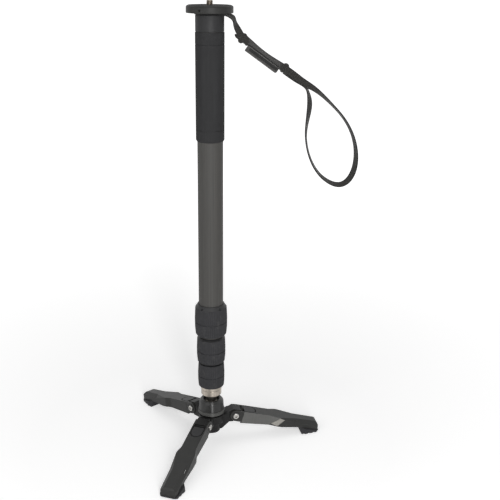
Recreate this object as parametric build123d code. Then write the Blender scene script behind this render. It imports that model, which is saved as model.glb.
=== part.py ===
"""Camera monopod: a pole of four nested tubes with twist locks, standing on a ball joint that has
three folding feet, with a wrist strap round the neck under the camera plate.

Millimetres. +Z is up and the pole stands on the Z axis. The origin is the centre of the plate's pad,
at the foot of the camera stud. +Y points away from the side that shows the grip's panel.
"""
import math
import os

from build123d import *

os.makedirs("parts", exist_ok=True)

# Fits and cuts
run_gap = 0.06            # radial play of what turns or slides on metal
seat_gap = 0.02           # play between pieces that are fixed to each other
overrun = 2.0             # how far a cutting solid passes the faces that it cuts

# Camera stud: 3/8 inch above its flange, 1/4 inch below
stud_r = 4.7625
stud_length = 6.8
stud_chamfer = 0.6
stud_flange_r = 6.4
stud_flange_height = 1.6
stud_shank_r = 3.175
stud_shank_length = 13.0

# Camera plate and its pad
plate_r = 34.6
plate_height = 10.9
plate_edge = 3.1          # rounding of the rim's upper edge
plate_foot_edge = 0.7
pad_r = 31.4
pad_height = 1.8
pad_proud = 0.3
grub_r = 2.0
grub_drop = 7.3           # depth of the grub screw's axis below the pad
grub_sink = 0.9           # how far its outer end lies inside the rim
grub_azimuth = 244.75
grub_socket_r = 1.1
grub_socket_depth = 2.0

# Head collar, with the neck above it and the spigot below it
neck_r = 12.0
neck_length = 2.6         # bare neck between plate and collar
neck_rise = 6.5           # how far the neck screws into the plate
collar_r = 21.3
collar_height = 23.5
collar_edge = 0.8
spigot_length = 22.0
spigot_wall = 5.0
spigot_core_drop = 8.0    # solid metal left between the neck and the spigot's bore

# Grip sleeve
grip_gap = 0.8            # bare tube between collar and sleeve
grip_r = 21.65
grip_length = 160.4
grip_taper = 1.6
grip_taper_length = 2.4
grip_groove = 0.6
grip_groove_width = 1.0
grip_groove_inset = 17.4  # from the sleeve's upper end to its upper groove
grip_groove_foot = 18.0   # from its lower end to its lower groove
panel_rise = 0.4
panel_half = 15.2
panel_top_drop = 25.0     # from the sleeve's upper end to the panel's upper point
panel_length = 111.0
panel_point = 9.0         # height of the pointed part at each end
panel_shoulder = 3.2      # height of the cut corners beside it
panel_flank_share = 0.45  # where the point's flank meets the cut corner, as a share of half the width

# Tubes, from the widest at the top to the thinnest at the bottom
tube_r = [19.6, 17.6, 15.6, 13.6]
tube_wall = 1.5
tube_top_step = 12.0      # each inner tube starts this much lower than the one round it
tube_top_gap = 10.0       # air between the spigot and the first inner tube
bush_height = 18.0
bush_cap = 1.4

# Twist locks: where the first begins and the bare tube between them, then each one's lip, rubber and rim
first_lock_drop = 463.0   # from the plate's pad down to the first lock
lock_gap = [3.7, 1.6]
lip_height = [5.5, 2.5, 1.2]
rubber_height = [46.0, 40.8, 40.3]
rim_height = [2.3, 1.4, 1.1]
lip_r = [25.0, 22.6, 20.7]
rubber_top_r = [25.4, 22.8, 21.0]
rubber_belly_r = [26.3, 23.5, 21.9]
shoulder_r = [26.05, 23.35, 21.8]
rubber_foot_r = [25.0, 22.3, 21.0]
rim_r = [24.0, 21.5, 20.2]  # foot rim that shows under the rubber
belly_drop_shares = [0.42, 0.44, 0.42]
shoulder_drop_shares = [0.76, 0.74, 0.745]
ring_drop_shares = [0.541, 0.526, 0.533]
rib_counts = [54, 48, 44]
rib_depth = 0.45
ring_depth = 1.2
ring_width = 1.8
lip_notches = 5
lip_notch_locks = 2       # how many of the locks, from the top, have notches in their lip
lip_notch_width = 2.6
lip_notch_depth = 2.2
ferrule_wall = 1.7
ferrule_height = 31.0
lip_gap = 0.3             # play between the lip and the tube that it turns on
collar_wall = 1.45
nut_wall = 1.5            # wall of the collar below the ferrule
collet_slot = 1.2
collet_foot_wall = 1.0
collet_gap = 0.4          # play between the collar's foot and the inner tube
rim_bevel = 0.9

# Foot adapter, coupling ring and ball joint
adapter_gap = 0.6         # bare tube between the last lock and the adapter
adapter_r = 17.3
adapter_height = 5.4
adapter_plug_length = 20.0
adapter_edge = 0.6
ring_gap = 0.6
coupling_r = 16.8
coupling_height = 9.5
coupling_edge = 1.6
stem_r = 9.0
stem_rise = 22.0          # how far the stem reaches up into the adapter
neck_top_r = 10.0
neck_foot_r = 8.6
stem_neck_length = 9.5
ball_r = 15.0
ball_drop = 23.5          # from the coupling ring's foot to the ball's centre
dome_mouth_r = 13.7
dome_face_r = 17.0
dome_shoulder_r = 20.2
dome_shoulder_drop = 3.6
dome_waist_r = 20.8
dome_rise = 14.5          # from the ball's centre up to the dome's face
dome_skirt = 3.5          # from the ball's centre down to the flange
flange_r = 21.9
flange_height = 6.8
thread_r = 18.4
cup_wall = 1.5
cup_drop = 1.5            # how far the cup's rim lies under the ball's centre
cup_foot = 0.9
cup_hole_r = 5.0

# Hub
hub_r = 21.5
hub_gap = 2.7             # dark gap between the dome's flange and the hub
hub_height = 14.0
hub_edge = 1.0
barrel_r = 14.65
barrel_length = 18.8
barrel_edge = 2.4
hinge_reach = 40.0        # from the pole's axis to each hinge
hinge_drop = 17.6         # from the ball's centre to the hinges
arm_half = 11.2
tongue_half = 9.4
knuckle_r = 10.4
hump_top = 10.5
hump_front = 7.4
hump_back = 7.0
hump_edge = 1.4
shoulder_gap = 1.5
web_half = 4.0
web_reach = 35.0

# Hinges
leg_names = ["right", "left", "front"]
right_azimuth = 8.89      # the other legs follow at equal steps
leg_slope = 14.62
bolt_r = 3.0
bolt_head_r = 4.6
bolt_head_height = 1.7
bolt_head_edge = 0.5
bolt_socket_r = 2.5
bolt_socket_depth = 1.2
bolt_thread_r = 1.6       # the bolt's threaded end, inside the barrel nut
bolt_thread_length = 9.0
washer_r = 5.4
washer_height = 0.5

# Legs, in their own frame: along the leg, across it, and up from its middle plane
leg_length = 150.0
leg_top = 9.6             # also the radius of the ears round the hinge
ear_gap = 0.3
root_half = 12.4
flare_start = 61.0
flare_end = 72.0
flare_half = 15.8
toe_half = 13.6
toe_flat_half = 11.6
toe_cut = 5.0
toe_drop = 3.5
toe_top_round = 7.0
toe_lean = 3.0
heel_s = 10.8
heel_drop = 12.0
belly_s = 68.0
belly_drop = 7.0
sole_s = 84.0
sole_drop = 7.3
pad_seat_inset = 38.0     # from the toe's tip back to where the pad's seat begins
ear_ring_r = 7.0          # middle of the ring groove round each bolt, on the ears' outer faces
ear_ring_width = 0.8
ear_ring_depth = 0.4
slot_r = 16.2
leg_wall = 2.2
leg_skin = 2.6
pocket_start = 41.0
pocket_end = 110.0
rib_wall = 2.0
rib_places_shares = [0.34, 0.67]
edge_start = 76.0         # the upper edges' bevel begins here and is full at edge_full
edge_full = 104.0
edge_width = 6.3
edge_fall = 5.8
notch_s = 12.5
notch_width = 0.8
notch_depth = 0.5
notch_low = 1.3

# Latch button in each leg's root
latch_tip_s = 34.0
latch_half = 9.0
latch_line = 1.4          # outline gap round the button
latch_round = 8.8
latch_height = 3.0
latch_travel = 2.0
latch_room = 3.4          # height of the spring under the button
latch_boss_r = 2.6
latch_boss_height = 1.2
latch_tooth_width = 2.4
latch_tooth_half = 4.0
latch_tooth_height = 3.2
leaf_thickness = 0.5
leaf_half = 2.5
leaf_span = 15.0
leaf_middle_s = 26.0

# Inlay on one flank of each leg
inlay_sink = 0.7
inlay_proud = 0.25
inlay_low_s = 63.5
inlay_low = 4.1
inlay_high_s = 76.7
inlay_high = 8.4
inlay_end_s = 85.6
inlay_end = 6.6
inlay_back_s = 75.2
inlay_back = 6.1

# Toe pads, with places measured back from the toe's tip
pad_heel_inset = 33.0
pad_heel_foot_inset = 28.0
pad_corner_inset = 24.0
pad_sole_end_inset = 2.0
pad_end_proud = 2.5
pad_end_drop = 4.2
pad_front_rise = 0.4
pad_sole_drop = 7.847     # the sole's front edge below the leg's middle plane: it sets the floor
pad_half = 18.0
pad_toe_half = 14.5
pad_corner = 5.0
scallops = 3
scallop_r = 2.6
scallop_depth = 1.1

# Wrist strap: webbing, and where it runs
web_width = 11.0
web_thickness = 1.6
loop_r = 12.6
loop_outer_r = 22.4
loop_thickness = 1.8
strand_offset = 1.9       # each strand's distance from the strap's middle plane
strand_reach = 47.0       # from the pole's axis out to the strands' ends in the keeper
strand_drop = 33.4        # from the loop down to those ends
band_start_x = 53.8
band_start_z = 50.4       # depth below the plate's pad
band_slope = 35.5
band_length = 63.0
band_thickness = 3.6
band_groove = 0.4
keeper_length = 15.0
keeper_height = 16.0
keeper_depth = 8.6
label_start = 5.6         # along the band, from its upper end
label_length = 57.0
label_height = 7.0
label_thickness = 3.0
label_recess = 0.35
label_border = 1.6
slide_length = 10.5
slide_height = 15.0
slide_depth = 8.4
lump_edge = 3.4           # rounding of the keeper and the slide
piece_edge = 1.2
wrist_seat = 7.3          # how far the wrist loop's ends reach into the slide
wrist_reach = 113.2       # how far the wrist loop swings out from its start
wrist_drop = 177.2        # and how far it hangs down

# Route of each strand from the loop to the keeper: shares of the reach, of the loop's mean radius and
# of the drop, with the webbing's twist in degrees
strand_shares = [
    (0, 1, 0, 90),
    (0.223, 0.971, 0, 90),
    (0.485, 0.72, 0.018, 90),
    (0.66, 0.503, 0.124, 80),
    (0.749, 0.343, 0.353, 62),
    (0.817, 0.229, 0.618, 35),
    (0.915, 0.109, 0.853, 8),
    (1, 0.109, 1, 0),
]

# Route of the wrist loop: shares of its reach, of the strands' offset and of its drop, with the twist
wrist_shares = [
    (0, -1, 0, 0),
    (0.115, -1, 0.051, 4),
    (0.208, -1, 0.093, 10),
    (0.305, -1, 0.125, 24),
    (0.397, -1, 0.158, 50),
    (0.486, -1, 0.202, 68),
    (0.574, 0, 0.252, 80),
    (0.676, 0, 0.315, 90),
    (0.773, 0, 0.379, 90),
    (0.868, 0, 0.462, 88),
    (0.947, 0, 0.563, 82),
    (0.995, 0, 0.681, 72),
    (1, 0, 0.802, 58),
    (0.959, 0, 0.906, 50),
    (0.875, 0, 0.979, 52),
    (0.760, 0, 1, 60),
    (0.627, 0, 0.966, 72),
    (0.505, 0, 0.905, 82),
    (0.412, 0, 0.819, 88),
    (0.348, 0, 0.723, 90),
    (0.311, 0, 0.624, 90),
    (0.298, 0, 0.534, 88),
    (0.308, 0, 0.444, 84),
    (0.323, 1, 0.359, 70),
    (0.338, 1, 0.286, 55),
    (0.327, 1, 0.218, 38),
    (0.274, 1, 0.152, 18),
    (0.186, 1, 0.102, 6),
    (0.102, 1, 0.060, 2),
    (0, 1, 0.009, 0),
]


def corner_parts(corners):
    """Split corners given as (x, y) or (x, y, fillet) into points and fillet radii."""
    points = [(corner[0], corner[1]) for corner in corners]
    radii = [corner[2] if len(corner) > 2 else 0 for corner in corners]
    return points, radii


def outline(*corners, plane=Plane.XY):
    """Face in a plane from its corners, each with an optional fillet."""
    points, radii = corner_parts(corners)
    if any(radii):
        path = FilletPolyline(*points, radius=radii, close=True)
    else:
        path = Polyline(*points, close=True)
    return plane * make_face(path)


def turned(*corners):
    """Solid of revolution about Z from (radius, height) corners, each with an optional fillet."""
    return revolve(outline(*corners, plane=Plane.XZ), Axis.Z)


def rod(radius, low, high):
    """Cylinder on the Z axis between two heights."""
    return Pos(0, 0, low) * Cylinder(radius, high - low, align=(Align.CENTER, Align.CENTER, Align.MIN))


def pipe(bore, radius, low, high):
    """Round pipe on the Z axis between two heights."""
    return turned((bore, low), (radius, low), (radius, high), (bore, high))


def cross_rod(radius, start, end):
    """Cylinder along Y through the origin between two places."""
    return Rot(-90, 0, 0) * rod(radius, start, end)


def block(x_range, y_range, z_range):
    """Box between three pairs of bounds."""
    size = [high - low for low, high in (x_range, y_range, z_range)]
    low = [bounds[0] for bounds in (x_range, y_range, z_range)]
    return Pos(*low) * Box(*size, align=Align.MIN)


# Heights that follow from the stack, from the plate down
rim_z = -pad_proud
plate_foot = rim_z - plate_height
collar_top = plate_foot - neck_length
collar_foot = collar_top - collar_height
spigot_foot = collar_foot - spigot_length
grip_top = collar_foot - grip_gap
grip_foot = grip_top - grip_length
tube_bore = [radius - tube_wall for radius in tube_r]
tube_top = [collar_foot] + [spigot_foot - tube_top_gap - step * tube_top_step for step in range(3)]
lock_height = [sum(heights) for heights in zip(lip_height, rubber_height, rim_height)]
lock_top = [first_lock_drop]
for height, gap in zip(lock_height, lock_gap):
    lock_top.append(lock_top[-1] + height + gap)
rubber_top =[-top - lip for top, lip in zip(lock_top, lip_height)]
rubber_foot = [top - height for top, height in zip(rubber_top, rubber_height)]
lock_foot = [foot - height for foot, height in zip(rubber_foot, rim_height)]
adapter_top = lock_foot[2] - adapter_gap
adapter_foot = adapter_top - adapter_height
coupling_top = adapter_foot - ring_gap
coupling_foot = coupling_top - coupling_height
ball_z = coupling_foot - ball_drop
dome_top = ball_z + dome_rise
flange_top = ball_z - dome_skirt
flange_foot = flange_top - flange_height
hub_top = flange_foot - hub_gap
hub_foot = hub_top - hub_height
barrel_foot = hub_foot - barrel_length
hinge_z = ball_z - hinge_drop
ferrule_top = [-top - lip for top, lip in zip(lock_top, lip_height)]
tube_foot = [top - ferrule_height for top in ferrule_top] + [adapter_top]

# Places that follow along a leg, and the floor, which the front edge of each sole touches
leg_step = 360 / len(leg_names)
leg_azimuths = {name: right_azimuth + leg_step * turn for turn, name in enumerate(leg_names)}
pad_seat_s = leg_length - pad_seat_inset
pad_heel_s = leg_length - pad_heel_inset
pad_heel_foot_s = leg_length - pad_heel_foot_inset
pad_corner_s = leg_length - pad_corner_inset
pad_sole_end_s = leg_length - pad_sole_end_inset
slope_angle = math.radians(leg_slope)
floor_z = hinge_z - pad_sole_end_s * math.sin(slope_angle) - pad_sole_drop * math.cos(slope_angle)


def camera_stud():
    """Reversible screw: wide thread above the flange, narrow thread below it."""
    foot = -stud_flange_height - stud_shank_length
    return turned(
        (0, stud_length),
        (stud_r - stud_chamfer, stud_length),
        (stud_r, stud_length - stud_chamfer),
        (stud_r, 0),
        (stud_flange_r, 0),
        (stud_flange_r, -stud_flange_height),
        (stud_shank_r, -stud_flange_height),
        (stud_shank_r, foot + stud_chamfer),
        (stud_shank_r - stud_chamfer, foot),
        (0, foot),
    )


def plate_pad():
    """Rubber ring that the camera's base rests on."""
    return pipe(stud_flange_r + seat_gap, pad_r, -pad_height, 0)


def grub_place():
    """Frame on the grub screw's axis, pointing out of the rim."""
    return Rot(0, 0, grub_azimuth) * Pos(0, 0, -grub_drop) * Rot(0, 90, 0)


def mounting_plate():
    """Round plate with a recess for the pad and a socket for the neck."""
    flange_bore = stud_flange_r + seat_gap
    shank_bore = stud_shank_r + seat_gap
    socket_top = plate_foot + neck_rise
    plate = turned(
        (shank_bore, socket_top),
        (neck_r + seat_gap, socket_top),
        (neck_r + seat_gap, plate_foot),
        (plate_r, plate_foot, plate_foot_edge),
        (plate_r, rim_z, plate_edge),
        (pad_r + seat_gap, rim_z),
        (pad_r + seat_gap, -pad_height),
        (flange_bore, -pad_height),
        (flange_bore, -stud_flange_height - seat_gap),
        (shank_bore, -stud_flange_height - seat_gap),
    )
    return plate - grub_place() * rod(grub_r + seat_gap, neck_r, plate_r + overrun)


def plate_set_screw():
    """Grub screw that locks the plate on the neck."""
    outer = plate_r - grub_sink
    screw = rod(grub_r, neck_r + seat_gap, outer)
    socket = extrude(RegularPolygon(grub_socket_r, 6), grub_socket_depth + overrun)
    return grub_place() * (screw - Pos(0, 0, outer - grub_socket_depth) * socket)


def head_collar():
    """Collar with its neck, threaded for the stud, and the spigot that plugs the top tube."""
    spigot_r = tube_bore[0] - seat_gap
    neck_top = plate_foot + neck_rise - seat_gap
    stud_bore = stud_shank_r + seat_gap
    bore_foot = -stud_flange_height - stud_shank_length - stud_chamfer
    core_foot = collar_top - spigot_core_drop
    return turned(
        (stud_bore, neck_top),
        (neck_r, neck_top),
        (neck_r, collar_top),
        (collar_r, collar_top, collar_edge),
        (collar_r, collar_foot, collar_edge),
        (spigot_r, collar_foot),
        (spigot_r, spigot_foot),
        (spigot_r - spigot_wall, spigot_foot),
        (spigot_r - spigot_wall, core_foot),
        (0, core_foot),
        (0, bore_foot),
        (stud_bore, bore_foot),
    )


def panel_outline():
    """Pointed panel of the grip, seen from the front."""
    top = grip_top - panel_top_drop
    foot = top - panel_length
    flank = panel_half * panel_flank_share
    half_corners = [
        (flank, panel_point - panel_shoulder),
        (panel_half, panel_point),
    ]
    right = [(x, top - drop) for x, drop in half_corners]
    right += [(x, foot + drop) for x, drop in reversed(half_corners)]
    left = [(-x, z) for x, z in reversed(right)]
    return outline((0, top), *right, (0, foot), *left, plane=Plane.XZ)


def grip_groove_ring(middle):
    """Ring that cuts one groove round the grip."""
    half = grip_groove_width / 2
    return pipe(grip_r - grip_groove, grip_r + overrun, middle - half, middle + half)


def grip_sleeve():
    """Rubber sleeve with two grooves, a tapered foot and a raised pointed panel on its front."""
    bore = tube_r[0] + seat_gap
    sleeve = turned(
        (bore, grip_top),
        (grip_r, grip_top),
        (grip_r, grip_foot + grip_taper_length),
        (grip_r - grip_taper, grip_foot),
        (bore, grip_foot),
    )
    sleeve -= grip_groove_ring(grip_top - grip_groove_inset)
    sleeve -= grip_groove_ring(grip_foot + grip_groove_foot)
    skin = pipe(bore + seat_gap, grip_r + panel_rise, grip_foot, grip_top)
    front = extrude(panel_outline(), grip_r + overrun)
    return sleeve + (skin & front)


def tube(index):
    """One tube of the pole."""
    return pipe(tube_bore[index], tube_r[index], tube_foot[index], tube_top[index])


def bushing(index):
    """Slide bushing on an inner tube's upper end, running in the next wider tube."""
    outer = tube_bore[index - 1] - run_gap
    top = tube_top[index]
    return turned(
        (tube_r[index], top - bush_height),
        (outer, top - bush_height),
        (outer, top + bush_cap),
        (tube_bore[index], top + bush_cap),
        (tube_bore[index], top),
        (tube_r[index], top),
    )


def lock_ferrule(index):
    """Threaded ferrule fixed round the lower end of a tube."""
    bore = tube_r[index] + seat_gap
    outer = tube_r[index] + ferrule_wall
    return pipe(bore, outer, tube_foot[index], ferrule_top[index] - rim_bevel)


def collet_places(index):
    """Outer radius and height of the collet's upper and lower ends."""
    inner = tube_r[index + 1]
    high = (tube_r[index], tube_foot[index] - seat_gap)
    low = (inner + collet_foot_wall, rubber_foot[index] + seat_gap)
    return high, low


def lock_collet(index):
    """Split ring whose cone is squeezed on the inner tube when the collar is screwed up."""
    bore = tube_r[index + 1] + run_gap
    high, low = collet_places(index)
    ring = turned((bore, low[1]), low, high, (bore, high[1]))
    half = collet_slot / 2
    slot = block((0, tube_r[index] + overrun), (-half, half), (low[1] - overrun, high[1] + overrun))
    return ring - slot


def lock_collar(index):
    """Threaded collar: it turns on the ferrule, and its cone presses the collet."""
    tube_radius = tube_r[index]
    inner = tube_r[index + 1]
    thread = tube_radius + ferrule_wall + run_gap
    skirt = thread + collar_wall
    nut_bore = tube_radius + run_gap + run_gap
    nut = nut_bore + nut_wall
    _, low = collet_places(index)
    cone = low[0] + run_gap + run_gap
    step = tube_foot[index] - run_gap
    lip_bore = tube_radius + lip_gap
    rim = rubber_foot[index]
    foot = lock_foot[index]
    body = turned(
        (lip_bore, -lock_top[index]),
        (lip_bore + nut_wall, -lock_top[index]),
        (lip_r[index], rubber_top[index]),
        (skirt, rubber_top[index]),
        (skirt, step - nut_wall),
        (nut, step - nut_wall),
        (nut, rim - seat_gap),
        (rim_r[index], rim - seat_gap),
        (rim_r[index], foot + rim_bevel),
        (rim_r[index] - rim_bevel, foot),
        (inner + collet_gap, foot),
        (inner + collet_gap, rim),
        (cone, rim),
        (nut_bore, step),
        (thread, step),
        (thread, ferrule_top[index] - run_gap),
        (lip_bore, ferrule_top[index] - run_gap),
    )
    if index < lip_notch_locks:
        half = lip_notch_width / 2
        reach = (lip_r[index] - lip_notch_depth, lip_r[index] + overrun)
        notch = block(reach, (-half, half), (rubber_top[index], -lock_top[index] + overrun))
        for count in range(lip_notches):
            body -= Rot(0, 0, 90 + count * 360 / lip_notches) * notch
    return body


def ribbed_section(radius, height, count):
    """Star-shaped face: one tooth for each rib of the rubber."""
    corners = []
    for tooth in range(2 * count):
        reach = radius - rib_depth * (tooth % 2)
        angle = math.radians(tooth * 180 / count)
        corners.append((reach * math.cos(angle), reach * math.sin(angle)))
    return Pos(0, 0, height) * outline(*corners)


def lock_grip(index):
    """Rubber ring on the collar, ribbed along its length, with one groove round it."""
    top = rubber_top[index]
    height = rubber_height[index]
    places = [
        (rubber_top_r[index], top),
        (rubber_belly_r[index], top - height * belly_drop_shares[index]),
        (shoulder_r[index], top - height * shoulder_drop_shares[index]),
        (rubber_foot_r[index], rubber_foot[index]),
    ]
    sections = [ribbed_section(radius, z, rib_counts[index]) for radius, z in places]
    body = loft(sections, ruled=True)
    thread = tube_r[index] + ferrule_wall + run_gap
    skirt = thread + collar_wall + seat_gap
    nut = tube_r[index] + run_gap + run_gap + nut_wall + seat_gap
    step = tube_foot[index] - run_gap - nut_wall - seat_gap
    body -= rod(skirt, step, top + overrun)
    body -= rod(nut, rubber_foot[index] - overrun, top + overrun)
    middle = top - height * ring_drop_shares[index]
    low = middle - ring_width / 2
    floor = rubber_belly_r[index] - ring_depth
    return body - pipe(floor, rubber_belly_r[index] + overrun, low, low + ring_width)


def foot_adapter():
    """Upper metal ring, plugged into the thinnest tube and bored for the ball's stem."""
    plug = tube_bore[3] - seat_gap
    bore = stem_r + run_gap
    return turned(
        (bore, adapter_foot),
        (adapter_r, adapter_foot, adapter_edge),
        (adapter_r, adapter_top, adapter_edge),
        (plug, adapter_top),
        (plug, adapter_top + adapter_plug_length),
        (bore, adapter_top + adapter_plug_length),
    )


def coupling_ring():
    """Lower metal ring, screwed on the stem under the adapter."""
    bore = stem_r + seat_gap
    return turned(
        (bore, coupling_foot),
        (coupling_r, coupling_foot, coupling_edge),
        (coupling_r, coupling_top, adapter_edge),
        (coupling_r - coupling_edge, coupling_top),
        (coupling_r - coupling_edge, adapter_foot - run_gap),
        (bore, adapter_foot - run_gap),
    )


def ball_stem():
    """Ball, its waisted neck, and the stem on which the pole turns."""
    neck_foot = coupling_foot - stem_neck_length
    stem = turned(
        (0, coupling_foot + stem_rise),
        (stem_r, coupling_foot + stem_rise),
        (stem_r, coupling_foot),
        (neck_top_r, coupling_foot),
        (neck_foot_r, neck_foot),
        (neck_foot_r, ball_z),
        (0, ball_z),
    )
    return stem + Pos(0, 0, ball_z) * Sphere(ball_r)


def ball_hollow():
    """Sphere that clears the ball."""
    return Pos(0, 0, ball_z) * Sphere(ball_r + run_gap)


def pocket_r():
    """Radius of the pocket that holds the cup in the hub's threaded boss."""
    return ball_r + cup_wall + run_gap


def cup_place():
    """Heights of the ball cup's foot and rim."""
    return ball_z - ball_r - cup_foot, ball_z - cup_drop


def ball_seat():
    """Slippery cup that the ball rests and turns in."""
    foot, rim = cup_place()
    cup = pipe(cup_hole_r, ball_r + cup_wall, foot, rim)
    return cup - ball_hollow()


def ball_collar():
    """Domed collar that is screwed on the hub and holds the ball down in its cup."""
    outer = turned(
        (0, flange_foot),
        (flange_r, flange_foot, hub_edge),
        (flange_r, flange_top, hub_edge),
        (dome_waist_r, flange_top),
        (dome_waist_r, ball_z),
        (dome_shoulder_r, dome_top - dome_shoulder_drop, dome_shoulder_drop),
        (dome_face_r, dome_top),
        (0, dome_top),
    )
    mouth = rod(dome_mouth_r, ball_z, dome_top + overrun)
    thread = rod(thread_r, flange_foot - overrun, ball_z - cup_drop + run_gap)
    return outer - mouth - ball_hollow() - thread


def leg_frame(azimuth):
    """Frame of one leg: its hinge, turned out and tilted down the leg's slope."""
    return Rot(0, 0, azimuth) * Pos(hinge_reach, 0, hinge_z) * Rot(0, leg_slope, 0)


def sloped(s, v):
    """Radius and height of a point given along and above a leg's middle plane."""
    radius = hinge_reach + s * math.cos(slope_angle) + v * math.sin(slope_angle)
    height = hinge_z - s * math.sin(slope_angle) + v * math.cos(slope_angle)
    return radius, height


def arm_profile():
    """Side outline of one arm, from the hub's middle out to the knuckle."""
    root = barrel_r - barrel_edge
    hub_middle = (hub_top + hub_foot) / 2
    hump_low = sloped(hump_front, 0)
    return outline(
        (root, hub_middle),
        (root, hub_top - hub_edge),
        (hub_r - hub_edge, hub_top - hub_edge, hub_edge),
        (*sloped(-hump_back, hump_top), hump_edge),
        (*sloped(hump_front, hump_top), hump_edge),
        hump_low,
        (hinge_reach, hinge_z - knuckle_r),
        (hub_r, hub_foot, hub_edge),
        (root, hub_foot),
        plane=Plane.XZ,
    )


def arm():
    """One arm: a wide root, and a tongue with a round knuckle between the leg's ears."""
    wide = extrude(arm_profile(), arm_half, both=True)
    knuckle = Pos(hinge_reach, 0, hinge_z) * cross_rod(knuckle_r, -tongue_half, tongue_half)
    ear_room = leg_top + shoulder_gap
    room = Pos(hinge_reach, 0, hinge_z) * cross_rod(ear_room, tongue_half, arm_half + overrun)
    outer = (tongue_half, arm_half + overrun)
    above = block(
        (hinge_reach - ear_room, hinge_reach + ear_room), outer, (hinge_z, hinge_z + 2 * hump_top)
    )
    beyond = block(
        (hinge_reach, hinge_reach + 2 * ear_room), outer, (hinge_z - ear_room, hinge_z + ear_room)
    )
    side_room = room + above + beyond
    return wide + knuckle - side_room - mirror(side_room, Plane.XZ)


def arm_web():
    """Rib under an arm, down to the foot of the barrel."""
    root = barrel_r - barrel_edge
    profile = outline(
        (root, barrel_foot + barrel_edge),
        (barrel_r + barrel_edge, barrel_foot + barrel_edge, barrel_edge),
        (web_reach, hinge_z - knuckle_r + hub_edge),
        (root, hinge_z),
        plane=Plane.XZ,
    )
    return extrude(profile, web_half, both=True)


def hub():
    """Hub with its threaded boss, its barrel and three arms."""
    boss_r = thread_r - run_gap
    cup_z, _ = cup_place()
    body = turned(
        (0, ball_z - cup_drop - seat_gap),
        (boss_r, ball_z - cup_drop - seat_gap),
        (boss_r, hub_top),
        (hub_r, hub_top, hub_edge),
        (hub_r, hub_foot, hub_edge),
        (barrel_r, hub_foot),
        (barrel_r, barrel_foot, barrel_edge),
        (0, barrel_foot),
    )
    limb = arm() + arm_web()
    for azimuth in leg_azimuths.values():
        body += Rot(0, 0, azimuth) * limb
    body -= rod(pocket_r(), cup_z - seat_gap, ball_z)
    pin_hole = cross_rod(bolt_r + seat_gap, -arm_half - overrun, arm_half + overrun)
    for azimuth in leg_azimuths.values():
        body -= leg_frame(azimuth) * pin_hole
    return body


def washer_face():
    """Distance from a leg's middle plane to the outer face of a washer."""
    return root_half + seat_gap + washer_height


def headed_pin(inner_end):
    """Smooth pin along Z from its inner end up to a low round head with a hexagon socket."""
    face = washer_face()
    crown = face + bolt_head_height
    pin = turned(
        (0, inner_end),
        (bolt_r, inner_end),
        (bolt_r, face),
        (bolt_head_r, face),
        (bolt_head_r, crown, bolt_head_edge),
        (0, crown),
    )
    socket = extrude(RegularPolygon(bolt_socket_r, 6), bolt_socket_depth + overrun)
    return pin - Pos(0, 0, crown - bolt_socket_depth) * socket


def hinge_bolt():
    """Bolt of one hinge: a smooth shank to the middle, then a thinner threaded end."""
    thread = rod(bolt_thread_r, seat_gap - bolt_thread_length, 0)
    return Rot(90, 0, 0) * (headed_pin(0) + thread)


def hinge_nut():
    """Barrel nut that comes from the hinge's other side and takes the bolt's thread."""
    bore = rod(bolt_thread_r + seat_gap, 0, bolt_thread_length)
    return Rot(-90, 0, 0) * (headed_pin(seat_gap) - bore)


def hinge_washer(side):
    """Washer between an ear and the bolt's head or nut."""
    ring = cross_rod(washer_r, 0, washer_height) - cross_rod(bolt_r + seat_gap, 0, washer_height)
    if side > 0:
        return Pos(0, root_half + seat_gap, 0) * ring
    return Pos(0, -washer_face(), 0) * ring


def plan_outline(grow):
    """Outline of a leg seen from above, moved outwards by grow."""
    half = [
        (-leg_top - grow, root_half + grow),
        (flare_start, root_half + grow, flare_end - flare_start),
        (flare_end, flare_half + grow, flare_end - flare_start),
        (leg_length - toe_cut, toe_half + grow),
        (leg_length + grow, toe_flat_half + grow),
    ]
    mirrored = [(corner[0], -corner[1], *corner[2:]) for corner in reversed(half)]
    return outline(*half, *mirrored)


def side_outline():
    """Outline of a leg seen from the side, without its ears."""
    return outline(
        (0, leg_top),
        (leg_length - toe_lean, leg_top, toe_top_round),
        (leg_length, -toe_drop),
        (pad_seat_s, -toe_drop),
        (sole_s, -sole_drop),
        (belly_s, -belly_drop),
        (heel_s, -heel_drop),
        (heel_s, -leg_top),
        (0, -leg_top),
        plane=Plane.XZ,
    )


def top_edge_wedge(side):
    """Wedge that bevels the outer half of a leg's upper edge, wider towards the toe."""
    sections = []
    for s, size in ((edge_start, 0), (edge_full, 1), (leg_length + overrun, 1)):
        lean = (s - flare_end) / (leg_length - flare_end)
        half = flare_half + (toe_half - flare_half) * lean
        inner = half - edge_width * size
        low = leg_top - edge_fall * size
        slope = edge_fall / edge_width
        outer = half + overrun
        corners = [
            (s, side * inner, leg_top),
            (s, side * outer, low - slope * overrun),
            (s, side * outer, leg_top + overrun),
            (s, side * inner, leg_top + overrun),
        ]
        sections.append(make_face(Polyline(*corners, close=True)))
    return loft(sections, ruled=True)


def latch_outline(grow):
    """U-shaped outline of the latch button, moved outwards by grow."""
    half = latch_half + grow
    tip = latch_tip_s + grow
    return outline(
        (0, half),
        (tip, half, latch_round + grow),
        (tip, -half, latch_round + grow),
        (0, -half),
    )


def latch_floor():
    """Height of the recess floor under the latch button."""
    return leg_top - latch_height - latch_travel - latch_room


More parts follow.
